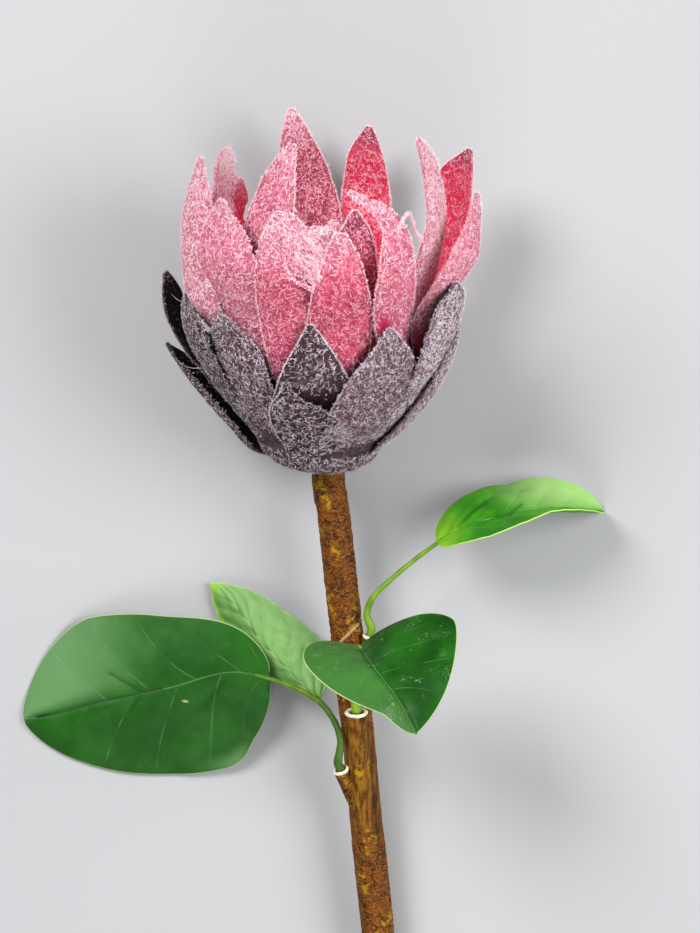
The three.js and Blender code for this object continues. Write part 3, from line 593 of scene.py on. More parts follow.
class Look:
    """A material with a Principled shader, a slot name that nothing uses, and short ways to add nodes to it.
    """

    def __init__(self, name, slot, roughness, **sockets):
        self.slot = slot
        self.material = bpy.data.materials.new(name)
        self.material.use_nodes = True
        self.tree = self.material.node_tree
        self.shader = self.tree.nodes["Principled BSDF"]
        self.shader.inputs["Roughness"].default_value = roughness
        for key, value in sockets.items():
            self.shader.inputs[key.replace("_", " ")].default_value = value

    def node(self, kind, inputs=(), **settings):
        node = self.tree.nodes.new(kind)
        for key, value in settings.items():
            setattr(node, key, value)
        for key, value in dict(inputs).items():
            self.feed(node.inputs[key], value)
        return node

    def feed(self, socket, value):
        """Links a node's output to a socket or sets the socket; a colour may be a six-digit code."""
        if isinstance(value, bpy.types.NodeSocket):
            self.tree.links.new(value, socket)
        elif isinstance(value, str):
            socket.default_value = [*linear(value), 1.0]
        elif socket.type == "RGBA":
            socket.default_value = [*value, 1.0]
        else:
            socket.default_value = value

    def math(self, operation, *values):
        return self.node("ShaderNodeMath", enumerate(values), operation=operation).outputs[0]

    def times(self, first, second):
        return self.math("MULTIPLY", first, second)

    def place(self, scale=(1.0, 1.0, 1.0)):
        """Where a point of the object is, in millimetres."""
        coordinates = self.node("ShaderNodeTexCoord").outputs["Object"]
        scaled = self.node("ShaderNodeMapping", {"Vector": coordinates, "Scale": [k / MM for k in scale]})
        return scaled.outputs[0]

    def noise(self, place, size, detail=2.0, distortion=0.0):
        settings = {"Vector": place, "Scale": 1 / size, "Detail": detail, "Distortion": distortion}
        return self.node("ShaderNodeTexNoise", settings).outputs[0]

    def value(self, name):
        return self.node("ShaderNodeAttribute", attribute_name=name).outputs["Fac"]

    def mix(self, share, first, second):
        return self.node("ShaderNodeMix", {0: share, 6: first, 7: second}, data_type="RGBA").outputs[2]

    def over(self, colour, **codes):
        """A colour with others laid over it, each as far as the value of its name."""
        for name, code in codes.items():
            colour = self.mix(self.value(name), colour, code)
        return colour

    def ranged(self, value, low, high, to_low=0.0, to_high=1.0):
        settings = {"Value": value, "From Min": low, "From Max": high, "To Min": to_low, "To Max": to_high}
        return self.node("ShaderNodeMapRange", settings, interpolation_type="SMOOTHSTEP").outputs[0]

    def clouds(self, place, size, detail, low, high, to_low=0.0, to_high=1.0):
        """Noise spread between two levels."""
        return self.ranged(self.noise(place, size, detail), low, high, to_low, to_high)

    def ridge(self, value, width):
        """1 along the line where a noise passes its middle, falling to 0 within a width."""
        return self.ranged(self.math("ABSOLUTE", self.math("SUBTRACT", value, 0.5)), 0.0, width, 1.0, 0.0)

    def bump(self, height, distance, strength):
        settings = {"Height": height, "Distance": distance * MM, "Strength": strength}
        self.feed(self.shader.inputs["Normal"], self.node("ShaderNodeBump", settings).outputs[0])

    def colour(self, value):
        self.feed(self.shader.inputs["Base Color"], value)

    def roughness(self, value):
        self.feed(self.shader.inputs["Roughness"], value)


def flocked(name, slot, inner_cover, **tone):
    """Foam under short curly fibres: worm-like lines over a deep ground with dark specks, which are deep foam
    and painted shadow between the fibres, and painted shade where the shade value says.
    """
    look = Look(name, slot, 0.95, Specular_IOR_Level=0.12)
    place = look.place()
    worms = [look.ridge(look.noise(place, size, 1, twist), wide) for size, twist, wide in WORMS]
    lines = look.math("MAXIMUM", look.math("MAXIMUM", worms[0], worms[1]), worms[2])
    ground = look.mix(look.clouds(place, 6, 3, 0.35, 0.65), tone["deep"], tone["bright"])
    ground = look.over(ground, white=tone["pale"], root=tone["root"])
    inside = look.over(tone["inner"], mauve=tone["dull"], blush=tone["pale"])
    inside = look.mix(look.times(look.value("blush"), look.value("white")), inside, tone["fibre"])
    ground = look.over(ground, inside=inside, dusk=tone["dusk"])
    # Dark specks: the deep foam showing between the fibres, with painted shadow cast by them.
    specks = look.clouds(place, 0.75, 2, 0.5, 0.64, 0.0, 0.75)
    ground = look.mix(look.times(specks, look.value("flock")), ground, tone["speck"])
    # Painted shade: the shade value darkens the ground towards near black.
    ground = look.mix(look.times(look.value("shade"), 0.85), ground, [0.012, 0.002, 0.005])
    cover = look.times(lines, look.clouds(place, 4, 2, 0.3, 0.6, 0.35, 0.7))
    cover = look.times(cover, look.value("flock"))
    cover = look.times(cover, look.ranged(look.value("inside"), 0.0, 1.0, 1.0, inner_cover))
    look.colour(look.mix(cover, ground, look.over(tone["fibre"], white=tone["frost"])))
    look.bump(look.math("ADD", lines, look.times(look.noise(place, 0.35, 2), 0.6)), 0.16, 0.9)
    return look


def fibre_look(name, slot, pale, deep):
    """Fibres between a pale and a deeper tint, chosen for each by its own value."""
    look = Look(name, slot, 0.8, Specular_IOR_Level=0.2)
    look.colour(look.over(pale, tint=deep))
    return look


PINK = flocked(
    "flocked_pink", "flock_pink", 0.6, deep="b81a42", bright="e03c64", fibre="f792aa", frost="ffd3de",
    root="8c2c50", pale="e07b98", inner="ff1650", dull="aa3452", dusk="5c3248", speck="84102e",
)
# The grey's inner and dull tones are near black: painted shade on the bracts' inner faces.
GREY = flocked(
    "flocked_grey", "flock_grey", 0.15, deep="170710", bright="331420", fibre="94787f", frost="e6d3db",
    root="2e2926", pale="80405a", inner="180810", dull="12060a", dusk="12060a", speck="16080d",
)
PINK_FIBRE = fibre_look("pink_fibre", "flock_pink", "ffeaf0", "f58ba4")
GREY_FIBRE = fibre_look("grey_fibre", "flock_grey", "ece0e6", "836b76")


def leaf_look(name, tones, edge="b4c884", scratched=False):
    """Two greens under pale veins, hairs and edge; scratched adds the pale lines of a scuffed face."""
    dark, light, vein, under = tones
    look = Look(name, "leaf_green", 0.42, Specular_IOR_Level=0.1)
    place = look.place()
    # The pale value lays a painted sheen over the green, in the vein's pale green.
    green = look.over(look.mix(look.clouds(place, 14, 3, 0.3, 0.7), dark, light), pale=vein)
    phase = look.value("phase")
    off = look.math("ABSOLUTE", look.math("SUBTRACT", phase, look.math("ROUND", phase)))
    side_vein = look.times(look.ranged(off, 0.0, 0.03, 1.0, 0.0), look.value("fade"))
    side_vein = look.times(side_vein, look.clouds(place, 9, 2, 0.42, 0.62, 0.1, 0.7))
    hairs = look.ridge(look.noise(place, 9, 2, 1.2), 0.008)
    hairs = look.times(hairs, look.clouds(place, 7, 2, 0.5, 0.65, 0.0, 0.25))
    midrib = look.ranged(look.value("wide"), 0.05, 0.45, 0.75, 0.0)
    veins = look.math("MAXIMUM", look.math("MAXIMUM", side_vein, hairs), midrib)
    green = look.mix(look.times(veins, 0.5), green, vein)
    # The crease value paints shade into the creases, in a near-black green.
    green = look.over(green, crease="0c2e08", lime="93c92e", scar="e0d8a8", inside=under)
    if scratched:
        lines = look.ridge(look.noise(look.place((1.0, 1.6, 1.0)), 1.6, 3, 0.6), 0.012)
        where = look.times(look.clouds(place, 6, 2, 0.56, 0.66), 0.7)
        green = look.mix(look.times(lines, where), green, "b9d3a4")
    look.colour(look.mix(look.ranged(look.value("rim"), 0.05, 0.28, 0.9, 0.0), green, edge))
    skin = look.times(look.noise(place, 0.5, 3), 0.3)
    look.bump(look.math("SUBTRACT", look.math("ADD", skin, look.noise(place, 3.5, 2)), veins), 0.15, 0.5)
    look.roughness(look.clouds(place, 5, 3, 0.3, 0.7, 0.36, 0.52))
    return look


def petiole_look():
    look = Look("petiole_green", "leaf_green", 0.5, Specular_IOR_Level=0.25)
    place = look.place()
    green = look.mix(look.clouds(place, 5, 3, 0.3, 0.7), "5c8216", "84a628")
    green = look.mix(look.clouds(place, 0.7, 3, 0.58, 0.74, 0.0, 0.4), green, "4a4a10")
    look.colour(look.over(green, dark="1a3f0c"))
    look.bump(look.noise(look.place((1.0, 0.3, 1.0)), 0.8, 3), 0.12, 0.6)
    return look


def bark_look():
    """Moulded bark: orange-brown, with a net of crack lines darkened with painted shade and lit lines of
    painted highlight, yellow patches and an ochre stretch.
    """
    look = Look("bark", "bark", 0.6, Specular_IOR_Level=0.12)
    place = look.place()
    brown = look.mix(look.clouds(place, 3.4, 4, 0.34, 0.66), "2e1402", "6c380a")
    brown = look.mix(look.clouds(place, 0.8, 3, 0.5, 0.8), brown, "844e18")
    streaks = look.clouds(look.place((1.0, 0.12, 1.0)), 1.3, 4, 0.38, 0.64)
    brown = look.over(brown, smoothed=look.mix(streaks, "46240a", "966818"))
    yellow = look.times(look.value("yellow"), look.clouds(place, 2.0, 3, 0.46, 0.6, 0.0, 0.8))
    brown = look.mix(yellow, brown, "a8860c")
    rough_part = look.math("SUBTRACT", 1.0, look.value("smoothed"))
    bent = look.node("ShaderNodeTexNoise", {"Vector": place, "Scale": 0.22, "Detail": 1.0}).outputs["Color"]
    bent = look.node("ShaderNodeVectorMath", {0: bent, 1: (7.0, 7.0, 7.0)}, operation="MULTIPLY").outputs[0]
    warped = {0: look.place((0.6, 1.4, 0.6)), 1: bent}
    warped = look.node("ShaderNodeVectorMath", warped, operation="ADD").outputs[0]
    cells = look.node("ShaderNodeTexVoronoi", {"Vector": warped, "Scale": 0.4}, feature="DISTANCE_TO_EDGE")
    edge = cells.outputs["Distance"]
    # Painted highlight along lit lines beside each crack, and painted shade in the crack lines below.
    lit = look.ranged(look.math("ABSOLUTE", look.math("SUBTRACT", edge, 0.14)), 0.0, 0.06, 0.5, 0.0)
    brown = look.mix(look.times(lit, rough_part), brown, "9c6626")
    brown = look.mix(look.times(look.ranged(edge, 0.01, 0.07, 0.6, 0.0), rough_part), brown, "2a1206")
    # The ridge marks are a painted highlight on raised rims, the crack marks painted shade in the cracks and
    # the groove painted shade in the sunk groove.
    look.colour(look.over(brown, ridge="a06a2a", crack="2c1206", groove="1a0d12", seam="e0b890"))
    look.roughness(look.clouds(place, 2, 3, 0.3, 0.7, 0.5, 0.75))
    look.bump(look.noise(place, 0.6, 4, 0.5), 0.16, 0.9)
    return look


def cream_look():
    look = Look("cream_lip", "cream", 0.45)
    place = look.place()
    cream = look.mix(look.clouds(place, 1.2, 3, 0.35, 0.65), "cfc39a", "efe9d2")
    # The inside value paints near-black shade into the lip's mouth.
    look.colour(look.over(cream, inside="1c1408"))
    look.bump(look.noise(place, 0.5, 3), 0.08, 0.7)
    return look


def floret_look():
    look = Look("floret", "floret_red", 0.85, Sheen_Weight=0.3)
    place = look.place()
    red = look.mix(look.clouds(place, 4, 3, 0.35, 0.65), "5a0f24", "8a1c3c")
    look.colour(look.over(red, tip="d98aa0"))
    look.bump(look.noise(place, 0.4, 2), 0.1, 0.8)
    return look


# Fibres


def fibres(body, base, normal, heading, length, width, curl, lift, tint):
    """Curved slivers that start at base, leave along heading, turn within the surface and rise from it."""
    side = np.cross(normal, heading)
    count = len(base)
    swing = random.normal(0, 0.7, count)
    arch = random.uniform(0.45, 1.0, count)
    foot = base
    points = [foot]
    for k in range(FIBRE_STEPS):
        share = (k + 0.5) / FIBRE_STEPS
        angle = (curl * (share - 0.2) + swing * math.sin(2 * math.pi * share))[:, None]
        step = heading * np.cos(angle) + side * np.sin(angle)
        edge = side * np.cos(angle) - heading * np.sin(angle)
        foot = foot + step * (length / FIBRE_STEPS)[:, None]
        rise = lift * np.sin(math.pi * arch * (k + 1) / FIBRE_STEPS)
        at = foot + normal * rise[:, None]
        if k < FIBRE_STEPS - 1:
            half = edge * (width * (0.5 - 0.12 * k / FIBRE_STEPS))[:, None]
            points += [at + half, at - half]
        else:
            points.append(at)
    points = above_table(np.stack(points, axis=1))
    corners = [[0, 2, 1]]
    for k in range(FIBRE_STEPS - 2):
        a = 2 * k + 1
        corners += [[a, a + 1, a + 3], [a, a + 3, a + 2]]
    last = 2 * FIBRE_STEPS - 3
    corners.append([last, last + 1, last + 2])
    start = np.arange(count)[:, None, None] * points.shape[1]
    faces = (start + np.array(corners)[None]).reshape(-1, 3)
    body.add(points, faces, tint=np.repeat(tint, points.shape[1]))


def flock_face(body, surface, normals, weight, density, tint, sizes, lift_most):
    """Fibres over one face of a blade; weight says how thickly they stand and tint how deep they are."""
    a, b, c, d = surface[:-1, :-1], surface[:-1, 1:], surface[1:, 1:], surface[1:, :-1]
    seen = UNDERSIDE_SHARE + (1 - UNDERSIDE_SHARE) * smooth(normals[..., 2] * 2 + 0.9)
    area = 0.5 * np.linalg.norm(np.cross(c - a, d - b), axis=-1) * (weight * seen)[:-1, :-1]
    count = int(area.sum() * density)
    if count < 1:
        return
    cell = random.choice(area.size, count, p=(area / area.sum()).ravel())
    i, j = np.unravel_index(cell, area.shape)
    u, v = random.random((2, count, 1))

    def mixed(table):
        near = table[i, j] * (1 - u) + table[i, j + 1] * u
        far = table[i + 1, j] * (1 - u) + table[i + 1, j + 1] * u
        return near * (1 - v) + far * v

    normal = unit(mixed(normals))
    sideways = unit(np.cross(normal, unit(surface[i + 1, j] - surface[i, j])))
    angle = random.uniform(0, 2 * math.pi, count)[:, None]
    heading = unit(sideways * np.cos(angle) + np.cross(normal, sideways) * np.sin(angle))
    length = random.uniform(*sizes, count)
    curl = random.normal(0, 3.0, count)
    lift = random.uniform(0.05, lift_most, count)
    tints = np.clip(np.broadcast_to(tint, seen.shape)[i, j] + random.normal(0, 0.22, count), 0, 1)
    width = random.uniform(*FIBRE_WIDTHS, count)
    fibres(body, mixed(surface), normal, heading, length, width, curl, lift, tints)


def flock_rim(body, grid, normals, thickness, tint):
    """Fibres that stand out round the edge of a blade, from a little above its root."""
    rows, columns = grid.shape[:2]
    low = rows // 5
    left = [(i, 0, i + 1, 0) for i in range(low, rows - 1)]
    right = [(i, columns - 1, i + 1, columns - 1) for i in range(low, rows - 1)]
    top = [(rows - 1, j, rows - 1, j + 1) for j in range(columns - 1)]
    ends = np.array(left + right + top)
    first, second = grid[ends[:, 0], ends[:, 1]], grid[ends[:, 2], ends[:, 3]]
    long = np.linalg.norm(second - first, axis=1)
    count = int(long.sum() * RIM_DENSITY)
    pick = random.choice(len(ends), count, p=long / long.sum())
    u = random.random((count, 1))
    base = first[pick] * (1 - u) + second[pick] * u
    inner = grid[ends[pick, 0], columns // 2]
    out = unit(base - inner + (grid[-1, columns // 2] - grid[-2, columns // 2]) * 0.5)
    along = unit(second[pick] - first[pick])
    normal = normals[ends[pick, 0], ends[pick, 1]]
    deep = thickness[ends[pick, 0], ends[pick, 1]]
    base = base + normal * (random.uniform(-0.5, 0.5, count) * deep)[:, None]
    heading = out + along * random.normal(0, 1.0, (count, 1))
    heading = unit(heading + normal * random.normal(0, 0.5, (count, 1)))
    facing = unit(normal - heading * (normal * heading).sum(1, keepdims=True))
    length, width = random.uniform(*SHORT, count), random.uniform(*RIM_FIBRE_WIDTHS, count)
    curl, lift = random.normal(0, 1.6, count), random.uniform(0.0, 0.3, count)
    tints = np.clip(random.normal(tint, 0.2, count), 0, 1)
    fibres(body, base, facing, heading, length, width, curl, lift, tints)


def flock_blade(body, grid, thickness, outer, inner, tip, rim_tint):
    """Fibres on a blade's outer and inner face, inside its tip and round its edge."""
    normals = grid_normals(grid)
    half = normals * thickness[..., None] / 2
    flock_face(body, grid + half, normals, *outer, LONG, 0.5)
    flock_face(body, grid - half, -normals, *inner, 0.4)
    flock_face(body, grid - half, -normals, *tip, SHORT, 0.5)
    flock_rim(body, grid, normals, thickness, rim_tint)


def flock_bowl(body):
    """Fibres on the underside of the receptacle."""
    curve = Curve([[r, 0, s] for r, s in RECEPTACLE_PROFILE[1:7]])
    line = curve.at(np.linspace(0, 1, BOWL_ROWS))
    grid = revolved(line[:, 0], line[:, 2], np.linspace(0, 2 * math.pi, BOWL_COLUMNS))
    flock_face(body, grid, grid_normals(grid), 1, 1.7, 0.5, LONG, 0.5)


# Petals and bracts


def cup_line(depth):
    """The cup's profile moved inwards by a depth."""
    curve = Curve([[r, 0, s] for r, s in CUP_PROFILE])
    tangents = [curve.tangent_at_point(k) for k in range(len(CUP_PROFILE))]
    return [[r - depth * t[2], s + depth * t[0]] for (r, s), t in zip(CUP_PROFILE, tangents)]


def bract_rib(spec, depth):
    """A bract's own line, or one up the cup that leans out towards its tip."""
    if "line" in spec:
        return [[r, 0, s] for r, s in spec["line"]]
    height = spec["height"]
    cup = cup_line(depth)
    line = [point for point in cup if BRACT_ROOT_HEIGHT < point[1] < height - BRACT_TIP_LENGTH]
    whole = Curve([[r, 0, s] for r, s in cup]).line
    line.append([np.interp(height, whole[:, 2], whole[:, 0]), height])
    rib = []
    for r, s in line:
        bend = max(0, (s - BRACT_BEND_HEIGHT) / (height - BRACT_BEND_HEIGHT)) ** 2
        lift = spec["lift"] * min(1, max(0, s / BRACT_BEND_HEIGHT))
        rib.append([r + lift + spec["out"] * bend, spec["lean"] * bend, s])
    return rib


def petal_rib(spec, root):
    """A petal's line from its root over shoulder and belly to its tip; a low petal has only root and tip."""
    rise = spec["height"] - SHOULDER_HEIGHT
    belly, tip, lean = spec["belly"], spec["tip"], spec["lean"]
    line = [[r, 0, s] for r, s in root]
    if rise > PETAL_FULL_RISE:
        line.append([spec["shoulder"], 0, SHOULDER_HEIGHT])
        line.append([belly, lean * 0.1, SHOULDER_HEIGHT + rise * 0.5])
        line.append([belly + (tip - belly) * 0.45, lean * spec["bend_lean"], SHOULDER_HEIGHT + rise * 0.78])
    line.append([tip, lean, spec["height"]])
    return line


def blade_grid(rib, spec, twist, seed):
    """How far each row is along a petal or bract and each column across it, and its middle surface."""
    curve = Curve(rib)
    t = np.linspace(0, 1, BLADE_ROWS + 1)
    point, tangent = curve.at(t), curve.tangent(t)
    out = unit(np.stack([tangent[:, 2], 0 * t, -tangent[:, 0]], axis=1))
    across = unit(np.cross(tangent, out))
    out = turned_about(tangent, out, math.radians(twist))
    across = turned_about(tangent, across, math.radians(twist))
    bend = np.full(len(t), float(spec["cup"])) if spec["cup"] else point[:, 0] / np.maximum(out[:, 0], 0.35)
    t, bend, out = t[:, None], bend[:, None], out[:, None]
    side = np.linspace(-1, 1, BLADE_COLUMNS + 1)[None]
    left, right = (np.maximum(TIP_HALF_WIDTH, eased(WIDTH_PLACES, spec[key], t)) for key in ("left", "right"))
    ragged = np.stack([noise_at(point, 3.1, seed), noise_at(point, 3.1, seed + 9)], 1) * 0.035
    torn = np.stack([noise_at(point, 1.3, seed + 4), noise_at(point, 1.3, seed + 13)], 1)
    ragged = ragged + spec["torn"] * torn * smooth(t * 2 - 1)
    ragged = np.where(side < 0, ragged[:, :1], ragged[:, 1:])
    wide = side * np.where(side < 0, left, right) * (1 + ragged * np.abs(side))
    angle = wide / bend
    grid = (
        point[:, None]
        + across[:, None] * (bend * np.sin(angle))[..., None]
        - out * (bend * (1 - np.cos(angle)))[..., None]
    )
    lumps = noise_at(grid, 7, seed) * 0.3 + noise_at(grid, 2.6, seed) * 0.12
    grid = grid + out * (lumps * smooth(t * 4))[..., None]
    return t, side, in_bloom(spun(grid, math.radians(spec["turn"] - 90)))


def made_blade(name, grid, t, side, look, node, **values):
    """Makes a petal or bract and returns its thickness, which is less at its edges and tip."""
    thickness = BLADE_THICKNESS * (1 - 0.35 * np.maximum(side ** 2, t ** 4))
    body = Body()
    blade(body, above_table(grid), thickness, **values)
    body.clear_table()
    body.made(name, look, node)
    return thickness


def bract(name, seed, spec, depth, flock_body):
    spec = BRACT | spec
    t, side, grid = blade_grid(bract_rib(spec, depth), spec, BRACT_TWIST, seed)
    # Painted shade: up to the entry's height the bract is darkened towards near black and left without
    # fibres, and its fibres are fewer and tinted deeper.
    shaded_hollow = smooth((spec["shaded_hollow"] - t) * 8)
    # mauve=1 gives the bract's inner face the grey's near-black dull tone, as painted shade.
    thickness = made_blade(name, grid, t, side, GREY, "bracts", root=0.9 * smooth(1 - t * 3), shade=shaded_hollow,
                           flock=1 - shaded_hollow, white=spec["rosy"] * 0.7 + spec["pale"] * 0.5, mauve=1)
    dark = 0.25 if spec["shaded_hollow"] else 0.0
    edge = smooth((np.abs(side) - 0.6) * 2 + (t - 0.8) * 3)
    tint = 0.3 + dark + 0.1 * spec["rosy"] - 0.25 * edge - 0.5 * spec["pale"]
    outer = smooth((t - 0.02) * 12) * (1 - 0.95 * shaded_hollow), 1.2 - dark + 1.0 * spec["pale"], tint
    inner = smooth((t - 0.35) * 5), 0.12, 0.8, SHORT
    tip = smooth((t - 0.9) * 10), 2.0, 0.1
    flock_blade(flock_body, grid, thickness, outer, inner, tip, 0.1)


def petal(name, seed, spec, root_line, twist, flock_body):
    t, side, grid = blade_grid(petal_rib(spec, root_line), spec, twist, seed)
    bald = smooth((spec["bare"] - t) * 7)
    if spec["bald"]:
        x, y, half_width, half_height = spec["bald"]
        middle = np.stack(at_pixel(x, y, grid[..., 2]), axis=-1)
        far = np.linalg.norm((grid - middle) / [half_width, half_height, 1], axis=-1)
        bald = np.maximum(bald, smooth(2 - far * 1.3))
    # Painted shade: the petal is darkened where it is bare low down, and near its root where it sits among
    # the bracts.
    shade = 0.75 * smooth((spec["bare"] - t) * 3) + 0.5 * smooth((0.3 - t) * 6) * (1 - bald)
    tip = smooth((t - spec["tip_from"]) * 4)
    white = (spec["white"] + (spec["tip_white"] - spec["white"]) * tip) * (1 - bald)
    thickness = made_blade(
        name, grid, t, side, PINK, "petals", root=0.8 * smooth((0.55 - t) * 2.4) * (1 - bald),
        shade=np.clip(shade, 0, 1), flock=1 - bald, white=white, mauve=spec["mauve"],
        dusk=0.85 * smooth((t - spec["dusk_from"]) * 6), blush=spec["blush"] + (1 - spec["blush"]) * tip)
    edge = smooth((np.abs(side) - 0.6) * 2)
    outer = smooth((t - 0.12) * 6) * (1 - bald) * (0.8 + 0.5 * white)
    outer = outer, 1.35 + 0.5 * spec["white"], 0.9 - 0.75 * white - 0.2 * edge
    inner = smooth((t - 0.4) * 5) * (1 + spec["blush"] + 3 * tip)
    inner = inner, 1.4 * spec["inner"], 0.75 - 0.65 * spec["blush"] - 0.7 * tip, LONG
    flock_blade(flock_body, grid, thickness, outer, inner, (smooth((t - 0.93) * 12), 2.0, 0.15), 0.25)
    return grid


def flock_side(spec):
    """Fibres are gathered apart for blades in front and at the back."""
    return "front" if abs(spec["turn"]) < FRONT_TURN else "back"


def made_flock(flock, name, look, node):
    for side, body in flock.items():
        body.made(f"flock_{name}_{side}", look, node)


def made_bracts():
    receptacle = Body()
    # The receptacle gets a little painted shade through its shade value.
    lathe(receptacle, RECEPTACLE_PROFILE, 64, root=0.8, shade=0.1, flock=1.0)
    receptacle.clear_table()
    receptacle.made("receptacle", GREY, "bracts")
    rows = [("outer", OUTER_BRACTS, OUTER_BRACT_DEPTH), ("inner", INNER_BRACTS, INNER_BRACT_DEPTH)]
    for row, (place, specs, depth) in enumerate(rows):
        flock = dict(front=Body(), back=Body())
        for index, spec in enumerate(specs):
            bract(f"bract_{place}_{index + 1}", 3.7 * index + 50 * row, spec, depth, flock[flock_side(spec)])
        if place == "outer":
            flock_bowl(flock["front"])
        made_flock(flock, f"bracts_{place}", GREY_FIBRE, "bracts")


def source_draws(state=7):
    """The draws from 0 to 1 of the part's source."""
    while True:
        state = (state * 1664525 + 1013904223) % 2 ** 32
        yield state / 2 ** 32


def made_petals():
    core = Body()
    # The core is half darkened with painted shade.
    lathe(core, CORE_PROFILE, 48, root=1.0, shade=0.5, flock=0.5)
    core.made("petal_core", PINK, "petals")
    grids = {}
    draws = source_draws()
    rows = [("outer", OUTER_PETALS, OUTER_PETAL_ROOT, OUTER_SHOULDER),
            ("inner", INNER_PETALS, INNER_PETAL_ROOT, INNER_SHOULDER)]
    for row, (place, specs, root_line, shoulder) in enumerate(rows):
        flock = dict(front=Body(), back=Body())
        for index, spec in enumerate(specs):
            cup, twist = 20 + 8 * next(draws), -4 + 8 * next(draws)
            spec = PETAL | dict(shoulder=shoulder, cup=cup) | spec
            name = f"petal_{place}_{index + 1}"
            seed = 5.3 * index + 90 * row
            grids[name] = petal(name, seed, spec, root_line, twist, flock[flock_side(spec)])
        made_flock(flock, f"petals_{place}", PINK_FIBRE, "petals")
    return grids


def strand(body, points, radius, fuzz, tint=0.15):
    """A thin thread with short fibres on it."""
    curve = Curve(points)
    rings = max(8, int(curve.length * 2))
    bar(body, curve, rings, 6, np.full(rings, radius), tint=tint)
    count = int(curve.length * fuzz)
    if not count:
        return
    t = random.random(count)
    base, tangent = curve.at(t), curve.tangent(t)
    heading = unit(np.cross(tangent, random.normal(0, 1, (count, 3))))
    length, curl = random.uniform(0.5, 1.1, count), random.normal(0, 1, count)
    width, lift, tints = np.full(count, 0.17), np.full(count, 0.1), random.uniform(0, 0.3, count)
    fibres(body, base, np.cross(tangent, heading), heading, length, width, curl, lift, tints)


def made_strays(grids):
    """The lacy web between two front petals, a bent sliver on the right and a few loose threads."""
    web = Body()
    left, right = grids["petal_outer_3"], grids["petal_outer_4"]
    for k in range(WEB_STRANDS):
        low, high = random.uniform(0.72, 0.95), random.uniform(0.68, 0.95)
        start = left[int(low * BLADE_ROWS), -2 - random.integers(7)]
        end = right[int(high * BLADE_ROWS), random.integers(3)]
        middle = (start + end) / 2 + random.normal(0, 1.2, 3) + [0, 0, 1.4]
        strand(web, [start, middle, end], random.uniform(0.06, 0.11), 2, random.uniform(0.2, 0.9))
    web.made("web_strands", PINK_FIBRE, "petals")
    sliver = Body()
    strand(sliver, [at_pixel(*place) for place in BENT_SLIVER], 0.33, 26, 0.6)
    sliver.made("bent_sliver", PINK_FIBRE, "petals")
    threads = Body()
    for line in LOOSE_THREADS:
        strand(threads, [at_pixel(*place) for place in line], 0.07, 0)
    threads.made("loose_threads", GREY_FIBRE, "bracts")


def made_florets():
    """A dome of bent florets, set by the golden angle."""
    body = Body()
    lathe(body, DOME_PROFILE, 48, tip=0.0)
    golden = math.pi * (3 - math.sqrt(5))
    for k in range(FLORETS):
        spread = math.sqrt((k + 0.5) / FLORETS)
        foot = np.array([16.5 * spread, 0, 57 - 18 * spread ** 3])
        lean = math.radians(24 * spread)
        up = np.array([math.sin(lean), 0, math.cos(lean)])
        bow = np.array([1.2, 0, 0]) * spread
        line = [foot - up * 3, foot + up * 2, foot + up * 5 + bow * 0.5, foot + up * 7.5 - bow * 0.3]
        curve = Curve(in_bloom(spun(np.array(line), k * golden)))
        bar(body, curve, 5, 5, [0.7, 0.75, 0.7, 0.5, 0.15], tip=[0, 0, 0.1, 0.5, 0.9])
    body.made("floret_cone", floret_look(), "florets")


# Stem


def stem_marks(skin, out):
    """How far each mark covers a point of the stem."""
    along, upper = skin[..., 1], out[..., 2]
    smoothed = smooth((along - SMOOTH_FROM) / 8) * smooth((SMOOTH_TO - along) / 10)
    groove = np.exp(-((out[..., 0] - GROOVE_SIDE) / GROOVE_WIDTH) ** 2) * smooth(upper * 3)
    groove = groove * smooth((GROOVE_TO - along) / 12) * smooth((along - GROOVE_FROM) / 12)
    groove = groove * (0.75 + 0.25 * noise_at(skin, 3, 8))
    seam = np.exp(-(line_distance(skin, *SEAM) / SEAM_WIDTH) ** 2) * smooth(upper * 5)
    return smoothed, groove, seam


def barked(body, curve, rings, sides, radius, seed=0.0, smoothed=None):
    """A bar with cracked bark and yellow patches; with no smoothed it's the stem, with all its marks."""
    t = np.linspace(0, 1, rings)
    angle = full_turn(sides)
    across = STEM_RADIUS * np.cos(angle)[None], STEM_RADIUS * np.sin(angle)[None]
    around = np.stack(np.broadcast_arrays(*across, (t * curve.length)[:, None]), axis=-1)
    cells = shaken(around, 2.6, 1.1, seed, 7) / BARK_CELL + seed
    gaps = np.array([np.subtract(*noise.voronoi(Vector(p))[0][1::-1]) for p in cells.reshape(-1, 3)])
    gaps = gaps.reshape(rings, sides)
    crack = 1 - smooth(gaps / 0.1)
    ridge = smooth(1 - np.abs(gaps - 0.24) / 0.1)
    lumps = noise_at(around, 4.5, seed + 3) * 0.22
    patch = noise_at(around / [1, 1, 1.5], 7, seed + 21)
    marks = {}
    if smoothed is None:
        out = spokes(*framed(curve, t), angle)
        smoothed, groove, seam = stem_marks(curve.at(t)[:, None] + out * STEM_RADIUS, out)
        # The groove is sunk into the bark and painted near black: painted shade in it.
        marks = dict(groove=0.9 * groove, seam=0.8 * seam)
        lumps = lumps - 0.45 * groove + 0.2 * seam
    crackled = 1 - 0.75 * smoothed
    table = np.reshape(radius, (-1, 1)) - 0.2 + lumps + (0.16 * smooth(gaps / 0.4) + 0.1 * ridge) * crackled
    # Marks for the material: painted shade in the cracks and a painted highlight on the ridges.
    bar(body, curve, rings, sides, table, crack=crack * 0.25 * crackled, ridge=ridge * 0.2 * crackled,
        yellow=smooth((patch - 0.05) * 4), smoothed=0.65 * smoothed, **marks)


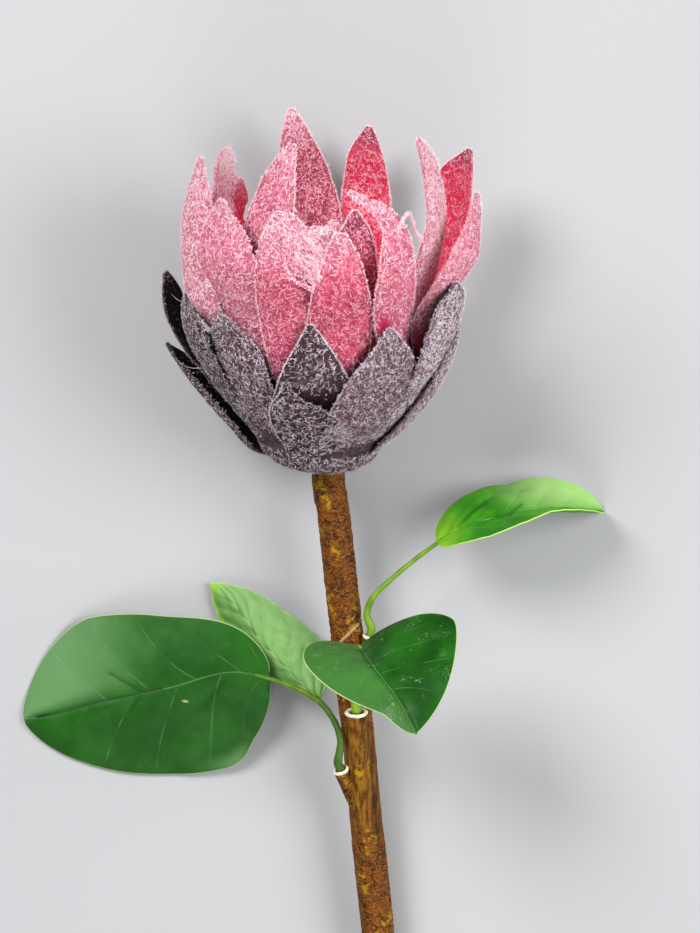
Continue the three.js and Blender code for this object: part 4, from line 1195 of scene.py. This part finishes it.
def made_stem():
    body = Body()
    neck = in_bloom([[NECK_SIDE, 0, NECK_TOP - NECK_LENGTH], [NECK_SIDE, 0, NECK_TOP]])
    barked(body, Curve([*STEM_LINE, *neck]), STEM_RINGS, STEM_SIDES, STEM_RADIUS)
    for k, socket in enumerate(SOCKETS.values()):
        start, end = np.array(socket["start"], float), np.array(socket["end"], float)
        line = Curve([start, start + (end - start) * 0.5, end])
        rings = int(line.length * 2.4)
        taper = np.linspace(0.8, 1.0, rings) * socket["radius"]
        barked(body, line, rings, STUB_SIDES, taper, 30 + 11 * k, socket.get("smooth", 0.0))
    body.made("stem_bark", bark_look(), "stem")


def beyond(socket, distance):
    """The point at a distance past a socket's end."""
    start, end = np.array(socket["start"], float), np.array(socket["end"], float)
    return end + unit(end - start) * distance


def made_lips():
    """Each lip is a flared cream ring whose mouth round its petiole is darkened with painted shade."""
    cream = cream_look()
    for name, socket in SOCKETS.items():
        body = Body()
        base = beyond(socket, SOCKET_GAP)
        axis = unit(beyond(socket, 1) - base)
        first = unit(np.cross(axis, [1.0, 0, 0]))
        ring = spokes(first, np.cross(axis, first), full_turn(LIP_SIDES)) * socket["radius"]
        rows = [base + ring * share + axis * height for share, height, dark in LIP_PROFILE]
        points = shaken(np.stack(rows), 1.4, 0.12, 0, 5)
        dark = np.repeat([dark for share, height, dark in LIP_PROFILE], LIP_SIDES)
        body.add(points, grid_faces(len(LIP_PROFILE), LIP_SIDES, closed=True)[:, ::-1], inside=dark)
        body.made(name.replace("collar", "lip"), cream, name)


# Leaves


def leaf_outline(t, half):
    """The share of a half's width at t, from base to tip."""
    peak = half["peak"]
    share = np.where(t < peak, 1 - t / peak, (t - peak) / (1 - peak))
    return np.maximum(1 - share ** LEAF_ROUNDNESS, 0) ** np.where(t < peak, half["base"], half["tip"])


def leaf_grid(leaf):
    """How far each row of a leaf is along its rib and each column out from it, and its middle surface."""
    curve = Curve(leaf["rib"])
    t = 0.5 - 0.5 * np.cos(np.linspace(0, math.pi, LEAF_ROWS + 1))
    point = curve.at(t)
    tangent = curve.tangent(t, 0.12)
    side = np.array(leaf["side"], float)
    across = unit(side - tangent * (tangent @ side)[:, None])
    up = unit(np.cross(across, tangent))
    up = np.where(up[:, 2:] < 0, -up, up)
    least = np.maximum(TIP_HALF_WIDTH, np.where(t > 0.5, leaf["blunt"] * np.sqrt(1 - t), 0))
    reaches = np.linspace(-1, 1, 2 * LEAF_COLUMNS + 1)
    columns = []
    for reach in reaches:
        half = leaf["halves"][0 if reach > 0 else 1]
        width = np.maximum(half["width"] * leaf_outline(t, half), least) * abs(reach)
        rise = np.radians(between(half["rise"], t) - LEAF_CURL * abs(reach))
        columns.append(
            point
            - tangent * (half["lobe"] * width * (1 - t) ** 3)[:, None]
            + across * (np.sign(reach) * width * np.cos(rise))[:, None]
            + up * (width * np.sin(rise))[:, None]
        )
    return t[:, None], reaches[None], np.stack(columns, axis=1)


def made_leaf(name, node, leaf, look, pale, lime=None):
    """A leaf with pressed midrib, side veins and creases darkened with painted shade, and a thin edge; pale
    says where a painted sheen lies and lime where it's lime.
    """
    leaf = LEAF | leaf
    t, side, grid = leaf_grid(leaf)
    far = np.abs(side)
    phase = (t - leaf["slant"] * far + 0.1 * far ** 2) * leaf["veins"] + np.where(side > 0, 0.0, 0.45)
    fade = smooth((1 - far) * 3) * smooth(far * 30) * smooth((1 - t) * 6)
    wide = np.linalg.norm(grid - grid[:, LEAF_COLUMNS][:, None], axis=-1)
    normals = grid_normals(grid)
    relief = leaf["relief"] * np.where(side < 0, leaf["calm"], 1)
    billow = (np.abs(np.sin(math.pi * phase)) - 0.5) * relief * fade * smooth((1 - far) * 2)
    wave = noise_at(grid, 16, 4.0) * 0.5 * smooth(far * 2) + noise_at(grid, 3.6, 11.0) * leaf["crumple"]
    # Creases are pressed in and also darkened with painted shade.
    crease = np.zeros_like(wide)
    for start, end in leaf["creases"]:
        crease = np.maximum(crease, np.exp(-(line_distance(grid, start, end) / 0.6) ** 2))
    groove = -0.35 * np.exp(-(wide / 0.9) ** 2) - 0.45 * crease
    flip = -1 if (normals[..., 2:] < 0).mean() > 0.5 else 1
    grid = grid + normals * flip * (billow + groove + wave)[..., None]
    scar = np.zeros_like(wide)
    if leaf["spot"]:
        scar.flat[np.argmin(np.linalg.norm(grid[..., :2] - leaf["spot"], axis=-1))] = 0.6
    thickness = LEAF_THICKNESS + (LEAF_EDGE_THICKNESS - LEAF_THICKNESS) * smooth(far * 1.6 - 0.4)
    thickness = np.broadcast_to(thickness, wide.shape)
    rim = np.linalg.norm(grid - np.where(side[..., None] > 0, grid[:, -1:], grid[:, :1]), axis=-1)
    values = dict(phase=phase, fade=fade, wide=wide, rim=rim, pale=pale(t, side), crease=0.6 * crease,
                  lime=lime(t, side) if lime else 0, scar=scar)
    values = {key: np.broadcast_to(value, wide.shape)[:, ::flip] for key, value in values.items()}
    body = Body()
    blade(body, grid[:, ::flip], thickness[:, ::flip], **values)
    body.made(name, look, node)


def made_stalks(name, node, look, specs):
    """Petioles and stalks in one piece; one that leaves a socket starts a little inside its lip."""
    body = Body()
    for spec in specs:
        line = spec["line"]
        if "socket" in spec:
            socket = SOCKETS[spec["socket"]]
            start = SOCKET_GAP + COLLAR_HEIGHT + SOCKET_GAP
            line = [beyond(socket, start - 0.7), beyond(socket, start + PETIOLE_FOOT), *line]
        curve = Curve(line)
        rings = max(12, int(curve.length * 1.5))
        t = np.linspace(0, 1, rings)[:, None]
        angle = full_turn(PETIOLE_SIDES)[None]
        radius = eased(np.linspace(0, 1, len(spec["radii"])), spec["radii"], t)
        radius = radius * (1 + 0.04 * np.cos(angle * 5)) + 0.05 * np.sin(t * 40) * np.sin(angle * 2)
        bar(body, curve, rings, PETIOLE_SIDES, radius, dark=spec["dark"])
    body.made(name, look, node)


def left_sheen(t, s):
    """A painted silvery sheen on the upper outer part of the left leaf and at its lower edge."""
    low = 0.5 * smooth((s - 0.8) * 6) * np.exp(-((t - 0.28) / 0.09) ** 2)
    return np.maximum(0.6 * smooth(t * 2.4 - 1.0) * smooth(0.1 - s * 4), low)


def back_sheen(t, s):
    """Painted sheen over all the back leaf, paler towards its far edge."""
    return 0.25 + 0.3 * smooth(s + 0.6)


def back_lime(t, s):
    """Lime at the back leaf's tip and along its near edge."""
    return 0.7 * np.maximum(smooth(t * 12 - 10.8), smooth(-s * 8 - 6.2) * smooth(t * 4 - 2))


def right_sheen(t, s):
    """Painted sheen, paler from a third of the way up the right leaf's lit half."""
    return 0.65 * smooth(t * 2.4 - 0.7) * smooth(s + 0.4)


def right_lime(t, s):
    """Lime at the right leaf's root."""
    return 0.7 * smooth(1 - t * 5)


def front_sheen(t, s):
    """Painted sheen, paler on the front leaf's second half."""
    return 0.22 * smooth(0.1 - s * 5)


def made_leaves():
    green = petiole_look()
    made_stalks("petiole_left", "leaf_sprig_left", green, [LEFT_PETIOLE, LEFT_LEAF_STALK, BACK_LEAF_STALK])
    look = leaf_look("leaf_dark", LEFT_LEAF["tones"])
    made_leaf("leaf_left", "leaf_sprig_left", LEFT_LEAF, look, left_sheen)
    look = leaf_look("leaf_painted_sheen", BACK_LEAF["tones"])
    made_leaf("leaf_back", "leaf_sprig_left", BACK_LEAF, look, back_sheen, back_lime)
    made_stalks("petiole_right", "leaf_right", green, [RIGHT_PETIOLE])
    look = leaf_look("leaf_painted_light", RIGHT_LEAF["tones"], edge="b8d868")
    made_leaf("leaf_right_blade", "leaf_right", RIGHT_LEAF, look, right_sheen, right_lime)
    made_stalks("petiole_front", "leaf_front", green, [FRONT_PETIOLE])
    look = leaf_look("leaf_near", FRONT_LEAF["tones"], scratched=True)
    made_leaf("leaf_front_blade", "leaf_front", FRONT_LEAF, look, front_sheen)


# Stage, in metres


def made_stage():
    mesh = bpy.data.meshes.new("floor")
    mesh.from_pydata([(-3, -3, 0), (3, -3, 0), (3, 3, 0), (-3, 3, 0)], [], [(0, 1, 2, 3)])
    floor = bpy.data.objects.new("floor", mesh)
    look = Look("floor_pale", None, 0.8)
    look.colour(look.mix(look.clouds(look.place(), 300, 2, 0.3, 0.7), [0.39, 0.39, 0.40], [0.42, 0.42, 0.43]))
    mesh.materials.append(look.material)
    bpy.context.scene.collection.objects.link(floor)


def area_light(name, place, aim, size, power):
    data = bpy.data.lights.new(name, "AREA")
    data.shape = "DISK"
    data.size = size
    data.energy = power
    lamp = bpy.data.objects.new(name, data)
    lamp.location = place
    lamp.rotation_euler = (Vector(aim) - Vector(place)).to_track_quat("-Z", "Y").to_euler()
    bpy.context.scene.collection.objects.link(lamp)


def made_lights():
    area_light("key", (-0.55, 0.55, 0.85), (0, 0.03, 0.03), 0.5, 12)
    area_light("fill", (0.75, 0.1, 0.7), (0, 0.0, 0.03), 0.7, 10)
    area_light("low", (-0.1, -0.8, 0.8), (0, 0.0, 0.03), 0.6, 3.5)
    world = bpy.data.worlds.new("studio")
    world.use_nodes = True
    background = world.node_tree.nodes["Background"]
    background.inputs[0].default_value = (0.95, 0.97, 1.0, 1)
    background.inputs[1].default_value = 0.35
    bpy.context.scene.world = world
    bpy.context.scene.view_settings.view_transform = "Standard"


def made_camera():
    data = bpy.data.cameras.new("camera")
    data.sensor_fit = "HORIZONTAL"
    data.sensor_width = SENSOR_WIDTH
    data.lens = CAMERA_PIXELS / (2 * PICTURE_MIDDLE[0]) * SENSOR_WIDTH
    data.clip_start = 0.01
    camera = bpy.data.objects.new("camera", data)
    camera.location = [k * MM for k in CAMERA_PLACE]
    bpy.context.scene.collection.objects.link(camera)
    bpy.context.scene.camera = camera


made_stem()
made_lips()
made_leaves()
made_bracts()
made_strays(made_petals())
made_florets()
made_stage()
made_lights()
made_camera()
